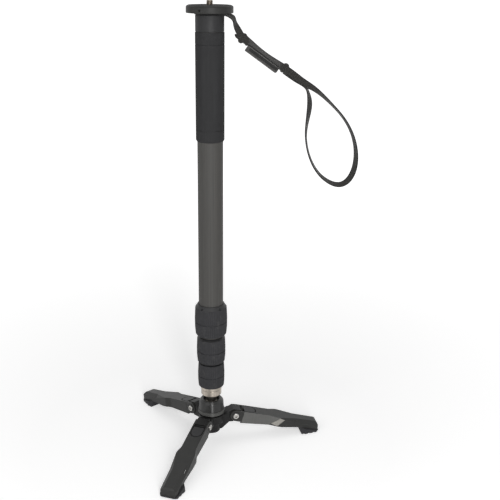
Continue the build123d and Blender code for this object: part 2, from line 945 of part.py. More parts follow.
def leg_pocket():
    """Hollow under a leg, crossed by ribs."""
    roof = leg_top - leg_skin
    low = -heel_drop - overrun
    room = extrude(outline(
        (pocket_start, root_half - leg_wall),
        (flare_start, root_half - leg_wall),
        (flare_end, flare_half - leg_wall),
        (pocket_end, flare_half - leg_wall - leg_wall),
        (pocket_end, -flare_half + leg_wall + leg_wall),
        (flare_end, -flare_half + leg_wall),
        (flare_start, -root_half + leg_wall),
        (pocket_start, -root_half + leg_wall),
    ), roof - low)
    room = Pos(0, 0, low) * room
    half = rib_wall / 2
    middle = block((pocket_start, pocket_end), (-half, half), (low, roof))
    room -= middle
    for share in rib_places_shares:
        s = pocket_start + (pocket_end - pocket_start) * share
        room -= block((s - half, s + half), (-flare_half, flare_half), (low, roof))
    return room


def inlay_prism():
    """Slanted prism that bounds the inlay and its recess."""
    face = outline(
        (inlay_low_s, -inlay_low),
        (inlay_high_s, inlay_high),
        (inlay_end_s, inlay_end),
        (inlay_back_s, -inlay_back),
        plane=Plane.XZ,
    )
    return extrude(face, flare_half + overrun)


def leg_inlay():
    """Metal inlay let into one flank of a leg, over the flare."""
    deep = extrude(plan_outline(-inlay_sink), heel_drop, both=True)
    proud = extrude(plan_outline(inlay_proud), heel_drop, both=True)
    return (inlay_prism() & proud) - deep


def leg():
    """One leg: ears round the hinge, a hollow flared body and a bevelled toe."""
    tall = heel_drop + leg_top
    body = extrude(side_outline(), flare_half + overrun, both=True)
    body &= extrude(plan_outline(0), tall, both=True)
    body += cross_rod(leg_top, -root_half, root_half)
    ear_inner = tongue_half + ear_gap
    body -= cross_rod(slot_r, -ear_inner, ear_inner)
    floor = latch_floor()
    button_room = Pos(0, 0, floor) * extrude(latch_outline(latch_line), tall)
    front = block((leg_top, leg_length), (-flare_half, flare_half), (-tall, tall))
    body -= button_room & front
    body -= leg_pocket()
    for side in (-1, 1):
        body -= top_edge_wedge(side)
        outer = root_half - notch_depth
        bounds = (outer, root_half + overrun) if side > 0 else (-root_half - overrun, -outer)
        half = notch_width / 2
        body -= block((notch_s - half, notch_s + half), bounds, (-notch_low, leg_top + overrun))
    body -= cross_rod(bolt_r + run_gap, -root_half - overrun, root_half + overrun)
    half = ear_ring_width / 2
    face = root_half - ear_ring_depth
    ring = pipe(ear_ring_r - half, ear_ring_r + half, face, root_half + overrun)
    for turn in (-90, 90):
        body -= Rot(turn, 0, 0) * ring
    return body - leg_inlay()


def leg_latch():
    """Button flush with the leg's top, with a boss for its spring and a tooth towards the knuckle."""
    foot = leg_top - latch_height
    button = Pos(0, 0, foot) * extrude(latch_outline(0), latch_height)
    clear = slot_r + ear_gap
    tooth_start = slot_r + latch_line
    tooth = block(
        (tooth_start, tooth_start + latch_tooth_width),
        (-latch_tooth_half, latch_tooth_half),
        (foot - latch_tooth_height, foot),
    )
    boss = Pos(leaf_middle_s, 0, 0) * rod(latch_boss_r, foot - latch_boss_height, foot)
    return button + tooth + boss - cross_rod(clear, -root_half, root_half)


def latch_spring():
    """Bowed leaf spring between the recess floor and the button's boss."""
    floor = latch_floor() + seat_gap
    crown = leg_top - latch_height - latch_boss_height - seat_gap
    start = leaf_middle_s - leaf_span / 2
    end = leaf_middle_s + leaf_span / 2
    upper_ends = ((start, floor + leaf_thickness), (end, floor + leaf_thickness))
    upper = ThreePointArc(upper_ends[0], (leaf_middle_s, crown), upper_ends[1])
    lower = ThreePointArc((start, floor), (leaf_middle_s, crown - leaf_thickness), (end, floor))
    first = Line((start, floor), upper_ends[0])
    last = Line(upper_ends[1], (end, floor))
    face = Plane.XZ * make_face([upper, last, lower, first])
    return extrude(face, leaf_half, both=True)


def sole_v(s):
    """Height of the floor in a leg's frame, at a place along the leg."""
    return (s - pad_sole_end_s) * math.tan(slope_angle) - pad_sole_drop


def toe_pad():
    """Rubber pad under a toe, with scallops across its sole."""
    side = outline(
        (pad_heel_s, -toe_drop),
        (pad_heel_foot_s, sole_v(pad_heel_foot_s)),
        (pad_sole_end_s, sole_v(pad_sole_end_s)),
        (leg_length + pad_end_proud, -pad_end_drop, pad_front_rise),
        (leg_length, -toe_drop),
        plane=Plane.XZ,
    )
    plan_half = [
        (pad_heel_s, pad_half - pad_corner),
        (pad_corner_s, pad_half, pad_corner),
        (pad_sole_end_s, pad_toe_half, pad_corner),
        (leg_length + pad_end_proud, pad_toe_half - pad_corner),
    ]
    plan = outline(*plan_half, *[(c[0], -c[1], *c[2:]) for c in reversed(plan_half)])
    body = extrude(side, pad_half + overrun, both=True)
    body &= extrude(plan, heel_drop + leg_top, both=True)
    pitch = (pad_sole_end_s - pad_heel_foot_s) / scallops
    for count in range(scallops):
        s = pad_heel_foot_s + pitch * (count + 1 / 2)
        drop = scallop_r - scallop_depth
        place = Pos(s, 0, sole_v(s) - drop / math.cos(slope_angle))
        body -= place * cross_rod(scallop_r, -pad_half - overrun, pad_half + overrun)
    return body


def ribbon_section(here, along, twist, width, thickness):
    """Cross-section of webbing: twist 0 lies face-on in the XZ plane, 90 stands edge-on."""
    tangent = Vector(*along).normalized()
    depth = Vector(0, 1, 0)
    flat = depth.cross(tangent).normalized()
    side = tangent.cross(flat).normalized()
    angle = math.radians(twist)
    across = flat * math.cos(angle) + side * math.sin(angle)
    through = tangent.cross(across).normalized()
    half = across * (width / 2)
    thin = through * (thickness / 2)
    middle = Vector(*here)
    corners = [middle + half + thin, middle + half - thin, middle - half - thin, middle - half + thin]
    return make_face(Polyline(*corners, close=True))


def ribbon(stations, width=web_width, thickness=web_thickness):
    """Webbing lofted through stations given as (x, y, depth, twist)."""
    places = [(x, y, -depth) for x, y, depth, _ in stations]
    sections = []
    for index, station in enumerate(stations):
        before = places[max(index - 1, 0)]
        after = places[min(index + 1, len(places) - 1)]
        along = [b - a for a, b in zip(before, after)]
        sections.append(ribbon_section(places[index], along, station[3], width, thickness))
    return loft(sections, ruled=True)


def loop_z():
    """Height of the middle of the strap's loop round the neck."""
    return (plate_foot + collar_top) / 2


def strap_neck_loop():
    """Loop of webbing round the neck and its two strands down to the keeper."""
    middle = loop_z()
    half = loop_thickness / 2
    loops = pipe(loop_r, loop_outer_r, middle - half, middle + half)
    radius = (loop_r + loop_outer_r) / 2
    for side in (-1, 1):
        stations = []
        for out, spread, fall, twist in strand_shares:
            depth = strand_drop * fall - middle
            stations.append((strand_reach * out, side * radius * spread, depth, twist))
        loops += ribbon(stations, loop_outer_r - loop_r)
    return loops


def band_place(along, below=0):
    """Frame in the band's direction, at a distance along it and below its middle line."""
    return Pos(band_start_x, 0, -band_start_z) * Rot(0, band_slope, 0) * Pos(along, 0, -below)


def strap_block(length, height, thickness):
    """Block round the webbing, rounded on all its edges."""
    body = Box(length, thickness, height)
    return fillet(body.edges(), lump_edge)


def strap_keeper():
    """Keeper that gathers the neck loop's strands."""
    block_body = strap_block(keeper_length, keeper_height, keeper_depth)
    return band_place(-keeper_length / 2 - seat_gap) * block_body - strap_neck_loop()


def strap_band():
    """Double band between the keeper and the slide, with the seam between its two layers."""
    band = Box(band_length, band_thickness, web_width)
    seam = Box(band_length, band_groove, band_groove)
    for side in (-1, 1):
        band -= Pos(0, 0, side * web_width / 2) * seam
    return band_place(band_length / 2) * band


def strap_label():
    """Bare patch under the band, with a sunk field on both faces."""
    patch = Box(label_length, label_thickness, label_height)
    patch = fillet(patch.edges().filter_by(Axis.Y), piece_edge)
    field = Box(label_length - 2 * label_border, label_recess, label_height - 2 * label_border)
    for side in (-1, 1):
        patch -= Pos(0, side * (label_thickness - label_recess) / 2, 0) * field
    below = (web_width + label_height) / 2 + seat_gap
    return band_place(label_start + label_length / 2, below) * patch


def strap_slide():
    """Slide that closes the wrist loop."""
    block_body = strap_block(slide_length, slide_height, slide_depth)
    along = band_length + slide_length / 2 + seat_gap
    return band_place(along) * block_body - strap_wrist_loop()


def strap_wrist_loop():
    """Wrist loop: webbing that leaves the slide, hangs in a twisted bight and comes back to it."""
    angle = math.radians(band_slope)
    along = band_length + wrist_seat
    start_x = band_start_x + along * math.cos(angle)
    start_depth = band_start_z + along * math.sin(angle)
    stations = []
    for out, side, fall, twist in wrist_shares:
        depth = start_depth + wrist_drop * fall
        stations.append((start_x + wrist_reach * out, side * strand_offset, depth, twist))
    return ribbon(stations)


def three(piece):
    """The same piece at all three hinges."""
    return Compound([leg_frame(azimuth) * piece for azimuth in leg_azimuths.values()])


def all_pieces():
    """Every node of the monopod by name."""
    pieces = {
        "camera_stud": camera_stud(),
        "plate_pad": plate_pad(),
        "mounting_plate": mounting_plate(),
        "plate_set_screw": plate_set_screw(),
        "head_collar": head_collar(),
        "grip_sleeve": grip_sleeve(),
        "foot_adapter": foot_adapter(),
        "coupling_ring": coupling_ring(),
        "ball_stem": ball_stem(),
        "ball_seat": ball_seat(),
        "ball_collar": ball_collar(),
        "hub": hub(),
        "hinge_bolts": three(hinge_bolt()),
        "hinge_nuts": three(hinge_nut()),
        "strap_neck_loop": strap_neck_loop(),
        "strap_keeper": strap_keeper(),
        "strap_band": strap_band(),
        "strap_label": strap_label(),
        "strap_slide": strap_slide(),
        "strap_wrist_loop": strap_wrist_loop(),
    }
    washers = [hinge_washer(-1), hinge_washer(1)]
    places = leg_azimuths.values()
    pieces["hinge_washers"] = Compound([leg_frame(a) * washer for a in places for washer in washers])
    for index in range(4):
        pieces[f"tube_{index + 1}"] = tube(index)
    for index in range(1, 4):
        pieces[f"bushing_{index + 1}"] = bushing(index)
    for index in range(3):
        lock = f"lock_{index + 1}"
        pieces[f"{lock}_ferrule"] = lock_ferrule(index)
        pieces[f"{lock}_collet"] = lock_collet(index)
        pieces[f"{lock}_collar"] = lock_collar(index)
        pieces[f"{lock}_grip"] = lock_grip(index)
    leg_pieces = {
        "leg": leg(),
        "toe_pad": toe_pad(),
        "leg_inlay": leg_inlay(),
        "leg_latch": leg_latch(),
        "latch_spring": latch_spring(),
    }
    for side, azimuth in leg_azimuths.items():
        for name, piece in leg_pieces.items():
            pieces[f"{name}_{side}"] = leg_frame(azimuth) * piece
    return pieces


for node, solid in all_pieces().items():
    export_step(solid, f"parts/{node}.step")
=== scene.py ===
import math

import bpy
from mathutils import Matrix, Vector


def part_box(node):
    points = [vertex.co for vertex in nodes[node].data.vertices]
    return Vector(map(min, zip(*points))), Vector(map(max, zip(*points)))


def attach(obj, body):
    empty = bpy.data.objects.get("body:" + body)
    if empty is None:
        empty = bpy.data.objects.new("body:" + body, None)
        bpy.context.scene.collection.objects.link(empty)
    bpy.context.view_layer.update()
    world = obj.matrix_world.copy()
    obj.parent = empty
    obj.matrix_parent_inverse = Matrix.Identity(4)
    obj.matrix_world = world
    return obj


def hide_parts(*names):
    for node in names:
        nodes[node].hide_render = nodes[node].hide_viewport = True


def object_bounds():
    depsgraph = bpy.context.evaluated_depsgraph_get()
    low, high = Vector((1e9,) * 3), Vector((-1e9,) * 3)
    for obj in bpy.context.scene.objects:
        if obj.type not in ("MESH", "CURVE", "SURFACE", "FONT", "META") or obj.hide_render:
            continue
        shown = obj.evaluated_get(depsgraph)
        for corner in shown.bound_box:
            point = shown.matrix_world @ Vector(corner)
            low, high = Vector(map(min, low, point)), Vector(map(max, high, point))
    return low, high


bl_info = {
    "name": "Camera Monopod",
    "version": (1, 0, 0),
    "blender": (4, 5, 0),
    "location": "3D View > Sidebar > Monopod",
    "description": "Finishes, webbing and studio for a camera monopod on its packed frame",
    "category": "Object",
}

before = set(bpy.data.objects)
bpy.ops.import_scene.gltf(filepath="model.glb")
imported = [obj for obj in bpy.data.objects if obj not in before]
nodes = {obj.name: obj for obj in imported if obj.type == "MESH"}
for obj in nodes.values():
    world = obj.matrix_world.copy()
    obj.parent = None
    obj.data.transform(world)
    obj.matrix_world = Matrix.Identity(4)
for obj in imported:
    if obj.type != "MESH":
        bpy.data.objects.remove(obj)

# Places on the frame
LEG_SIDES = ("right", "left", "front")
FIRST_AZIMUTH = 8.89
LEG_AZIMUTHS = {
    side: math.radians(FIRST_AZIMUTH + 120 * turn) for turn, side in enumerate(LEG_SIDES)}
LEG_SLOPE = math.radians(14.62)
HINGE_REACH = 0.040
HINGE_HEIGHT = -0.6666
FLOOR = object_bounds()[0][2]
GRIP_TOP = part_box("grip_sleeve")[1][2]
FLANGE_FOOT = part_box("ball_collar")[0][2]
FLANGE_TOP = FLANGE_FOOT + 0.0068
PLATE_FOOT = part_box("mounting_plate")[0][2]
NECK_HEIGHT = 0.0091
COLLAR_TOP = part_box("head_collar")[1][2] - NECK_HEIGHT
LOOP_HEIGHT = (PLATE_FOOT + COLLAR_TOP) / 2


def tone(red, green, blue):
    """Linear colour from the 8-bit values that a picture shows."""
    channels = []
    for value in (red, green, blue):
        share = value / 255
        low = share / 12.92
        high = ((share + 0.055) / 1.055) ** 2.4
        channels.append(low if share <= 0.04045 else high)
    return tuple(channels)


# Settings

def length_setting(name, description, metres):
    return bpy.props.FloatProperty(
        name=name, description=description, default=metres, unit="LENGTH")


def angle_setting(name, description, degrees):
    return bpy.props.FloatProperty(
        name=name, description=description, default=math.radians(degrees), unit="ROTATION")


def colour_setting(name, description, *seen):
    return bpy.props.FloatVectorProperty(
        name=name, description=description, subtype="COLOR", size=3, default=tone(*seen))


class MonopodSizes(bpy.types.PropertyGroup):
    """Sizes that scene pieces take beyond the frame's."""
    web_width: length_setting("Webbing width", "Width of the strap's webbing", 0.011)
    web_thickness: length_setting(
        "Webbing thickness", "Thickness of one layer of webbing", 0.0016)
    fold_thickness: length_setting(
        "Fold thickness", "Thickness of a folded turn of webbing in a knot", 0.0024)
    strand_offset: length_setting(
        "Strand offset", "Each strand's distance from the strap's middle plane", 0.0019)
    neck_width: length_setting(
        "Neck loop width", "Width of the loop that lies round the neck", 0.0101)
    band_lean: angle_setting(
        "Band lean", "How far the double band leans back in its middle", 57)
    end_lean: angle_setting(
        "End lean", "How far the double band leans back where it enters a knot", 36)
    stitch_pitch: length_setting("Stitch pitch", "Distance between stitches", 0.0021)
    thread_pitch: length_setting(
        "Thread pitch", "Pitch of the camera stud's upper, 3/8 inch thread", 0.0015875)
    shank_pitch: length_setting(
        "Shank pitch", "Pitch of the camera stud's lower, 1/4 inch thread", 0.00127)
    edge_radius: length_setting(
        "Edge radius", "Radius of the softened edges of cast and turned metal", 0.0006)


class MonopodColours(bpy.types.PropertyGroup):
    """Colours of the finishes."""
    tube: colour_setting("Tube", "Brushed grey tubes", 70, 69, 67)
    plate: colour_setting("Plate", "Camera plate's anodising", 42, 42, 41)
    collar: colour_setting("Collar", "Head collar's satin anodising", 42, 42, 43)
    foam: colour_setting("Grip", "Grip sleeve's rubber", 48, 48, 49)
    rubber: colour_setting("Rubber", "Twist locks and toe pads", 48, 48, 50)
    cast: colour_setting("Cast metal", "Painted legs", 38, 38, 37)
    # The hub's colour is the legs' paint darkened as painted shade, for the shadow under the dome's
    # flange
    hub: colour_setting("Hub", "Hub's darker paint", 23, 23, 23)
    dome: colour_setting("Dome", "Domed collar over the ball", 20, 20, 19)
    nickel: colour_setting("Nickel", "Silver rings", 186, 177, 166)
    inlay: colour_setting("Inlay", "Brushed inlays in the legs' flanks", 160, 157, 151)
    steel: colour_setting("Steel", "Bolts, nuts and springs", 190, 188, 184)
    band: colour_setting("Band", "Paler webbing of the double band", 80, 79, 78)
    webbing: colour_setting("Webbing", "Strap's webbing", 51, 50, 48)


# Finishes

# Range in which most values of a cloudy pattern lie
CLOUD = (0.3, 0.7)
# Lighter edge colour: rubbed wear together with a painted highlight along the edges
RUBBED_AND_HIGHLIT = tone(104, 104, 102)
# Darker colour of the patch's sunk field, also used for a painted shadow line
DARK_FIELD_AND_SHADOW = tone(20, 20, 20)
# A wave texture of scale 1 repeats after this length
WAVE_LENGTH = 2 * math.pi / 20
# The painted reflection on a leg's flank, lighter and streaked like brushing: its slanted edge's
# normal and a point on that edge, both given along the leg and up across it, and how far past the
# hinge the ear reaches
SLANT_ALONG, SLANT_RISE = -0.687, 0.726
EDGE_ALONG, EDGE_RISE = 0.0635, -0.0041
EAR_REACH = 0.0125
BEYOND_LEG = 0.2
# Selvedges of the webbing lie outside these two places across it; painted shade darkens them
BODY_START, BODY_END = 0.0008, 0.0098
BODY_MIDDLE = (BODY_START + BODY_END) / 2


class NodeTree:
    """A material's or world's nodes, built anew."""

    def __init__(self, owner):
        owner.use_nodes = True
        self.tree = owner.node_tree
        self.tree.nodes.clear()

    def add(self, kind, values=None, **settings):
        """Node of a kind, with its settings and the values of its inputs."""
        node = self.tree.nodes.new(kind)
        for key, value in settings.items():
            setattr(node, key, value)
        for entry, value in (values or {}).items():
            node.inputs[entry].default_value = value
        return node

    def join(self, source, source_name, target, target_name):
        self.tree.links.new(source.outputs[source_name], target.inputs[target_name])


class Finish(NodeTree):
    """One material, built step by step on its own coordinates."""

    def __init__(self, name, colour, roughness, metallic=0.0, specular=0.5):
        self.material = bpy.data.materials.new(name)
        super().__init__(self.material)
        output = self.add("ShaderNodeOutputMaterial")
        self.shader = self.add("ShaderNodeBsdfPrincipled", {
            "Roughness": roughness, "Metallic": metallic, "Specular IOR Level": specular,
            "Base Color": (*colour, 1)})
        self.join(self.shader, "BSDF", output, "Surface")
        self.colour = tuple(colour)
        self.places = self.add("ShaderNodeTexCoord")
        self.space = "Object"
        self.normal = None

    def noise(self, scale, detail=4.0, roughness=0.6):
        """Cloudy pattern. Three scales in place of one draw it out along an axis."""
        stretch = scale if isinstance(scale, tuple) else (scale, scale, scale)
        mapping = self.add("ShaderNodeMapping", {"Scale": stretch})
        self.join(self.places, self.space, mapping, "Vector")
        cloud = self.add("ShaderNodeTexNoise", {
            "Scale": 1.0, "Detail": detail, "Roughness": roughness})
        self.join(mapping, "Vector", cloud, "Vector")
        return cloud, "Fac"

    def waves(self, pitch, direction, kind="BANDS"):
        """Even ridges, one for each pitch in metres."""
        wave = self.add("ShaderNodeTexWave", {"Scale": WAVE_LENGTH / pitch}, wave_type=kind)
        setattr(wave, f"{kind.lower()}_direction", direction)
        self.join(self.places, self.space, wave, "Vector")
        return wave, "Fac"

    def between(self, pattern, low, high, start=0.0, end=1.0):
        """A pattern's values from start to end, spread from low to high."""
        spread = self.add("ShaderNodeMapRange", {
            "From Min": start, "From Max": end, "To Min": low, "To Max": high})
        self.join(*pattern, spread, "Value")
        return spread, "Result"

    def product(self, first, second):
        """Two patterns multiplied."""
        times = self.add("ShaderNodeMath", operation="MULTIPLY")
        self.join(*first, times, 0)
        self.join(*second, times, 1)
        return times, "Value"

    def measured(self, source, source_name, direction):
        """How far a vector reaches along a direction."""
        dot = self.add("ShaderNodeVectorMath", {1: direction}, operation="DOT_PRODUCT")
        self.join(source, source_name, dot, 0)
        return dot, "Value"

    def zone(self, direction, low, high, soft):
        """1 where the place along a direction lies between two distances in metres."""
        along = self.measured(self.places, self.space, direction)
        rise = self.between(along, 0.0, 1.0, low - soft, low + soft)
        fall = self.between(along, 1.0, 0.0, high - soft, high + soft)
        return self.product(rise, fall)

    def facing(self, direction):
        """1 on faces that look in a direction."""
        geometry = self.add("ShaderNodeNewGeometry")
        return self.between(self.measured(geometry, "Normal", direction), 0.0, 1.0, 0.86, 0.93)

    def shaded_hollows(self, reach):
        """High in sockets, grooves and inner corners, where painted shade is laid."""
        open_share = self.add("ShaderNodeAmbientOcclusion", {"Distance": reach},
                              samples=8, only_local=True)
        return self.between((open_share, "AO"), 1.0, 0.0, 0.35, 0.85)

    def shade(self, pattern, darker, lighter, start=0.0, end=1.0):
        """Colour that runs from darker to lighter shares of the base colour over a pattern."""
        ramp = self.add("ShaderNodeValToRGB")
        low, high = ramp.color_ramp.elements
        low.position = start
        high.position = end
        low.color = (*(channel * darker for channel in self.colour), 1)
        high.color = (*(channel * lighter for channel in self.colour), 1)
        self.join(*pattern, ramp, "Fac")
        self.join(ramp, "Color", self.shader, "Base Color")
        self.last_colour = (ramp, "Color")

    def overlay(self, pattern, colour):
        """A second colour laid over the first where a pattern is high."""
        mix = self.add("ShaderNodeMix", {7: (*colour, 1)}, data_type="RGBA")
        self.join(*pattern, mix, "Factor")
        self.join(*self.last_colour, mix, 6)
        self.join(mix, 2, self.shader, "Base Color")
        self.last_colour = (mix, 2)

    def gloss(self, pattern, low, high):
        """Roughness that varies with a pattern."""
        self.join(*self.between(pattern, low, high), self.shader, "Roughness")

    def relief(self, pattern, depth, strength=1.0):
        """Bump of a depth in metres, laid over the reliefs before it."""
        bump = self.add("ShaderNodeBump", {"Strength": strength, "Distance": depth})
        self.join(*pattern, bump, "Height")
        if self.normal is not None:
            self.join(*self.normal, bump, "Normal")
        self.normal = (bump, "Normal")
        self.join(*self.normal, self.shader, "Normal")
        return self

    def across_rings(self, share):
        """Highlights drawn out across the rings of a turned surface."""
        round_axis = self.add("ShaderNodeTangent", direction_type="RADIAL", axis="Z")
        self.join(round_axis, "Tangent", self.shader, "Tangent")
        self.shader.inputs["Anisotropic"].default_value = share
        self.shader.inputs["Anisotropic Rotation"].default_value = 0.25

    def bevel(self, radius):
        return self.add("ShaderNodeBevel", {"Radius": radius}, samples=6)

    def soft_edges(self, radius):
        """Rounded look of sharp edges. It comes before the reliefs."""
        self.normal = (self.bevel(radius), "Normal")
        self.join(*self.normal, self.shader, "Normal")

    def edge_mask(self, radius):
        """High along convex and concave edges. It marks rubbed wear together with a painted
        highlight there.
        """
        bevel = self.bevel(radius)
        geometry = self.add("ShaderNodeNewGeometry")
        dot = self.add("ShaderNodeVectorMath", operation="DOT_PRODUCT")
        self.join(bevel, "Normal", dot, 0)
        self.join(geometry, "Normal", dot, 1)
        return self.between((dot, "Value"), 1.0, 0.0, 0.82, 0.985)


def tube_finish(colour):
    """Brushed grey tube: fine streaks along the pole."""
    finish = Finish("brushed_tube", colour, 0.58, specular=0.22)
    streaks = finish.noise((1100, 1100, 5))
    finish.shade(streaks, 0.8, 1.2, *CLOUD)
    finish.gloss(finish.noise((300, 300, 8)), 0.52, 0.66)
    return finish.relief(streaks, 0.00002, 0.4).material


def plate_finish(colour, radius):
    """Bead-blasted black plate, rubbed at its rim, with a painted highlight there."""
    finish = Finish("plate_anodising", colour, 0.55, specular=0.2)
    finish.soft_edges(radius)
    grain = finish.noise(2400, detail=2)
    finish.shade(finish.noise(60), 0.86, 1.14, *CLOUD)
    # Painted highlight along the rim, mixed with rubbed wear
    finish.overlay(finish.between(finish.edge_mask(radius), 0.0, 0.25), RUBBED_AND_HIGHLIT)
    finish.gloss(finish.noise(90), 0.44, 0.56)
    return finish.relief(grain, 0.00004, 0.6).material


def collar_finish(colour):
    """Satin collar with the fine rings of its turning."""
    finish = Finish("collar_anodising", colour, 0.55, specular=0.2)
    rings = finish.noise((4, 4, 2600), detail=2)
    finish.shade(rings, 0.9, 1.12, *CLOUD)
    finish.gloss(finish.noise(80), 0.46, 0.6)
    return finish.relief(rings, 0.00002, 0.5).material


def foam_finish(colour):
    """Matt rubber sleeve with an open grain, fine ribs near its top and long rub marks."""
    finish = Finish("grip_rubber", colour, 0.84, specular=0.16)
    pores = finish.noise(1500, detail=3, roughness=0.7)
    rubbed = finish.noise((160, 160, 9), detail=3)
    both = finish.product(finish.between(rubbed, 0.7, 1.0), finish.between(pores, 0.8, 1.0))
    finish.shade(both, 0.72, 1.24, 0.6, 0.95)
    finish.gloss(pores, 0.76, 0.92)
    ribs = finish.waves(0.0024, "Z")
    near_top = finish.zone((0, 0, 1), GRIP_TOP - 0.0185, GRIP_TOP - 0.0028, 0.0004)
    finish.relief(finish.product(ribs, near_top), 0.00014, 0.8)
    return finish.relief(pores, 0.00008, 0.7).material


def rubber_finish(name, colour, dust):
    """Moulded rubber, a little dusty in patches."""
    finish = Finish(name, colour, 0.68, specular=0.2)
    cloud = finish.noise(120)
    grain = finish.noise(2200, detail=2)
    finish.shade(cloud, 0.86, 1.12, *CLOUD)
    finish.overlay(finish.between(cloud, 0.0, dust, 0.55, 0.8), tone(90, 88, 85))
    finish.gloss(cloud, 0.6, 0.76)
    return finish.relief(grain, 0.00003, 0.5).material


def cast_finish(name, colour, radius, shine=0.3, flank_reflection_side=None):
    """Painted casting: orange peel, rubbed edges with a painted highlight, painted shade in hollows
    and a painted reflection on a leg's flank.
    """
    finish = Finish(name, colour, 0.46, specular=shine)
    finish.soft_edges(radius)
    peel = finish.noise(1100, detail=2)
    finish.shade(finish.noise(70), 0.86, 1.14, *CLOUD)
    if flank_reflection_side is not None:
        # Painted reflection: one flank of the leg made lighter, streaked like brushing
        finish.overlay(painted_flank_reflection(finish, flank_reflection_side), tone(96, 96, 94))
    # Painted highlight along the edges, mixed with rubbed wear
    finish.overlay(finish.between(finish.edge_mask(radius), 0.0, 0.3), RUBBED_AND_HIGHLIT)
    # Painted shade in joints, notches and hollows
    finish.overlay(finish.shaded_hollows(0.0022), tone(8, 8, 8))
    finish.gloss(finish.noise(160), 0.4, 0.54)
    return finish.relief(peel, 0.00005, 0.5).material


def painted_flank_reflection(finish, side):
    """1 on the leg's flank that carries the inlay, from the ear up to the inlay's slant, where a
    painted reflection lightens it.
    """
    turn = LEG_AZIMUTHS[side]
    out = Vector((math.cos(turn), math.sin(turn), 0))
    flank = Vector((math.sin(turn), -math.cos(turn), 0))
    along = out * math.cos(LEG_SLOPE) - Vector((0, 0, math.sin(LEG_SLOPE)))
    rise = out * math.sin(LEG_SLOPE) + Vector((0, 0, math.cos(LEG_SLOPE)))
    hinge = out * HINGE_REACH + Vector((0, 0, HINGE_HEIGHT))
    slant = rise * SLANT_RISE + along * SLANT_ALONG
    edge = (hinge + along * EDGE_ALONG + rise * EDGE_RISE).dot(slant)
    ear = hinge.dot(along) + EAR_REACH
    before_inlay = finish.zone(slant, edge, edge + BEYOND_LEG, 0.0003)
    past_ear = finish.zone(along, ear, ear + BEYOND_LEG, 0.0003)
    streaks = finish.between(finish.noise((500, 500, 60), detail=3), 0.7, 1.0)
    area = finish.product(finish.product(before_inlay, past_ear), finish.facing(flank))
    return finish.product(area, streaks)


def dome_finish(colour):
    """Satin black dome, turned all over, above a paler flange with a blasted grain."""
    finish = Finish("turned_dome", colour, 0.38, specular=0.55)
    finish.across_rings(0.96)
    rings = finish.noise((3, 3, 2200), detail=2)
    finish.shade(rings, 0.86, 1.16, *CLOUD)
    flange = finish.zone((0, 0, 1), FLANGE_FOOT + 0.0004, FLANGE_TOP - 0.0004, 0.0002)
    grain = finish.between(finish.noise(900, detail=3), 0.3, 1.0, *CLOUD)
    finish.overlay(finish.product(flange, grain), tone(84, 84, 82))
    finish.gloss(flange, 0.39, 0.62)
    return finish.relief(rings, 0.00002, 0.5).material


def nickel_finish(name, colour, turned=True):
    """Warm satin nickel, turned in rings or brushed along. On turned nickel, tall light and dark
    streaks are painted reflections.
    """
    finish = Finish(name, colour, 0.3, metallic=1.0)
    lines = finish.noise((5, 5, 2400) if turned else (1800, 1800, 120), detail=3)
    # On turned nickel these tall streaks paint mottled reflections, light and dark
    streaks = finish.noise((140, 140, 12) if turned else 700, detail=3)
    both = finish.product(finish.between(lines, 0.8, 1.0),
                          finish.between(streaks, 0.55, 1.0, 0.35, 0.6))
    finish.shade(both, 0.55, 1.1, 0.4, 0.95)
    finish.gloss(finish.noise(150), 0.26, 0.4)
    return finish.relief(lines, 0.00002, 0.6).material


def steel_finish(name, colour, roughness=0.28):
    """Screw steel with tool marks, and painted shade in its sockets and grooves."""
    finish = Finish(name, colour, roughness, metallic=1.0)
    marks = finish.noise(1400, detail=3)
    finish.shade(finish.noise(220), 0.8, 1.1, *CLOUD)
    # Painted shade in the sockets and grooves
    finish.overlay(finish.shaded_hollows(0.0025), tone(14, 13, 12))
    finish.gloss(marks, roughness - 0.08, roughness + 0.08)
    return finish.relief(marks, 0.00001, 0.5).material


def nylon_finish(name, colour, roughness=0.5):
    """Moulded nylon with a soft sheen."""
    finish = Finish(name, colour, roughness, specular=0.35)
    cloud = finish.noise(200)
    finish.shade(cloud, 0.9, 1.1, *CLOUD)
    finish.gloss(cloud, roughness - 0.08, roughness + 0.08)
    return finish.relief(finish.noise(1500, detail=2), 0.00002, 0.4).material


def pad_finish(colour):
    """Rubber pad of the plate, with fine rings round the stud."""
    finish = Finish("pad_rubber", colour, 0.75, specular=0.2)
    rings = finish.waves(0.0016, "Z", kind="RINGS")
    finish.shade(rings, 0.7, 1.15)
    finish.gloss(finish.noise(300), 0.66, 0.84)
    return finish.relief(rings, 0.00025, 0.9).material


def webbing_finish(name, colour):
    """Flat woven webbing: ribs across, warp threads along, painted shade along its edges. UV is in
    metres.
    """
    finish = Finish(name, colour, 0.88, specular=0.2)
    finish.shader.inputs["Sheen Weight"].default_value = 0.2
    finish.shader.inputs["Sheen Roughness"].default_value = 0.5
    finish.space = "UV"
    ribs = finish.waves(0.00125, "Y")
    warp = finish.waves(0.0009, "X")
    weave = finish.product(ribs, warp)
    finish.shade(weave, 0.6, 1.4, 0.0, 0.8)
    # Painted shade along both edges, where the webbing turns away from the light
    body = finish.zone((1, 0, 0), BODY_START, BODY_END, 0.0003)
    finish.overlay(finish.between(body, 0.75, 0.0), tone(24, 24, 24))
    finish.gloss(weave, 0.94, 0.8)
    finish.relief(ribs, 0.0002, 0.8)
    return finish.relief(warp, 0.00012, 0.6).material


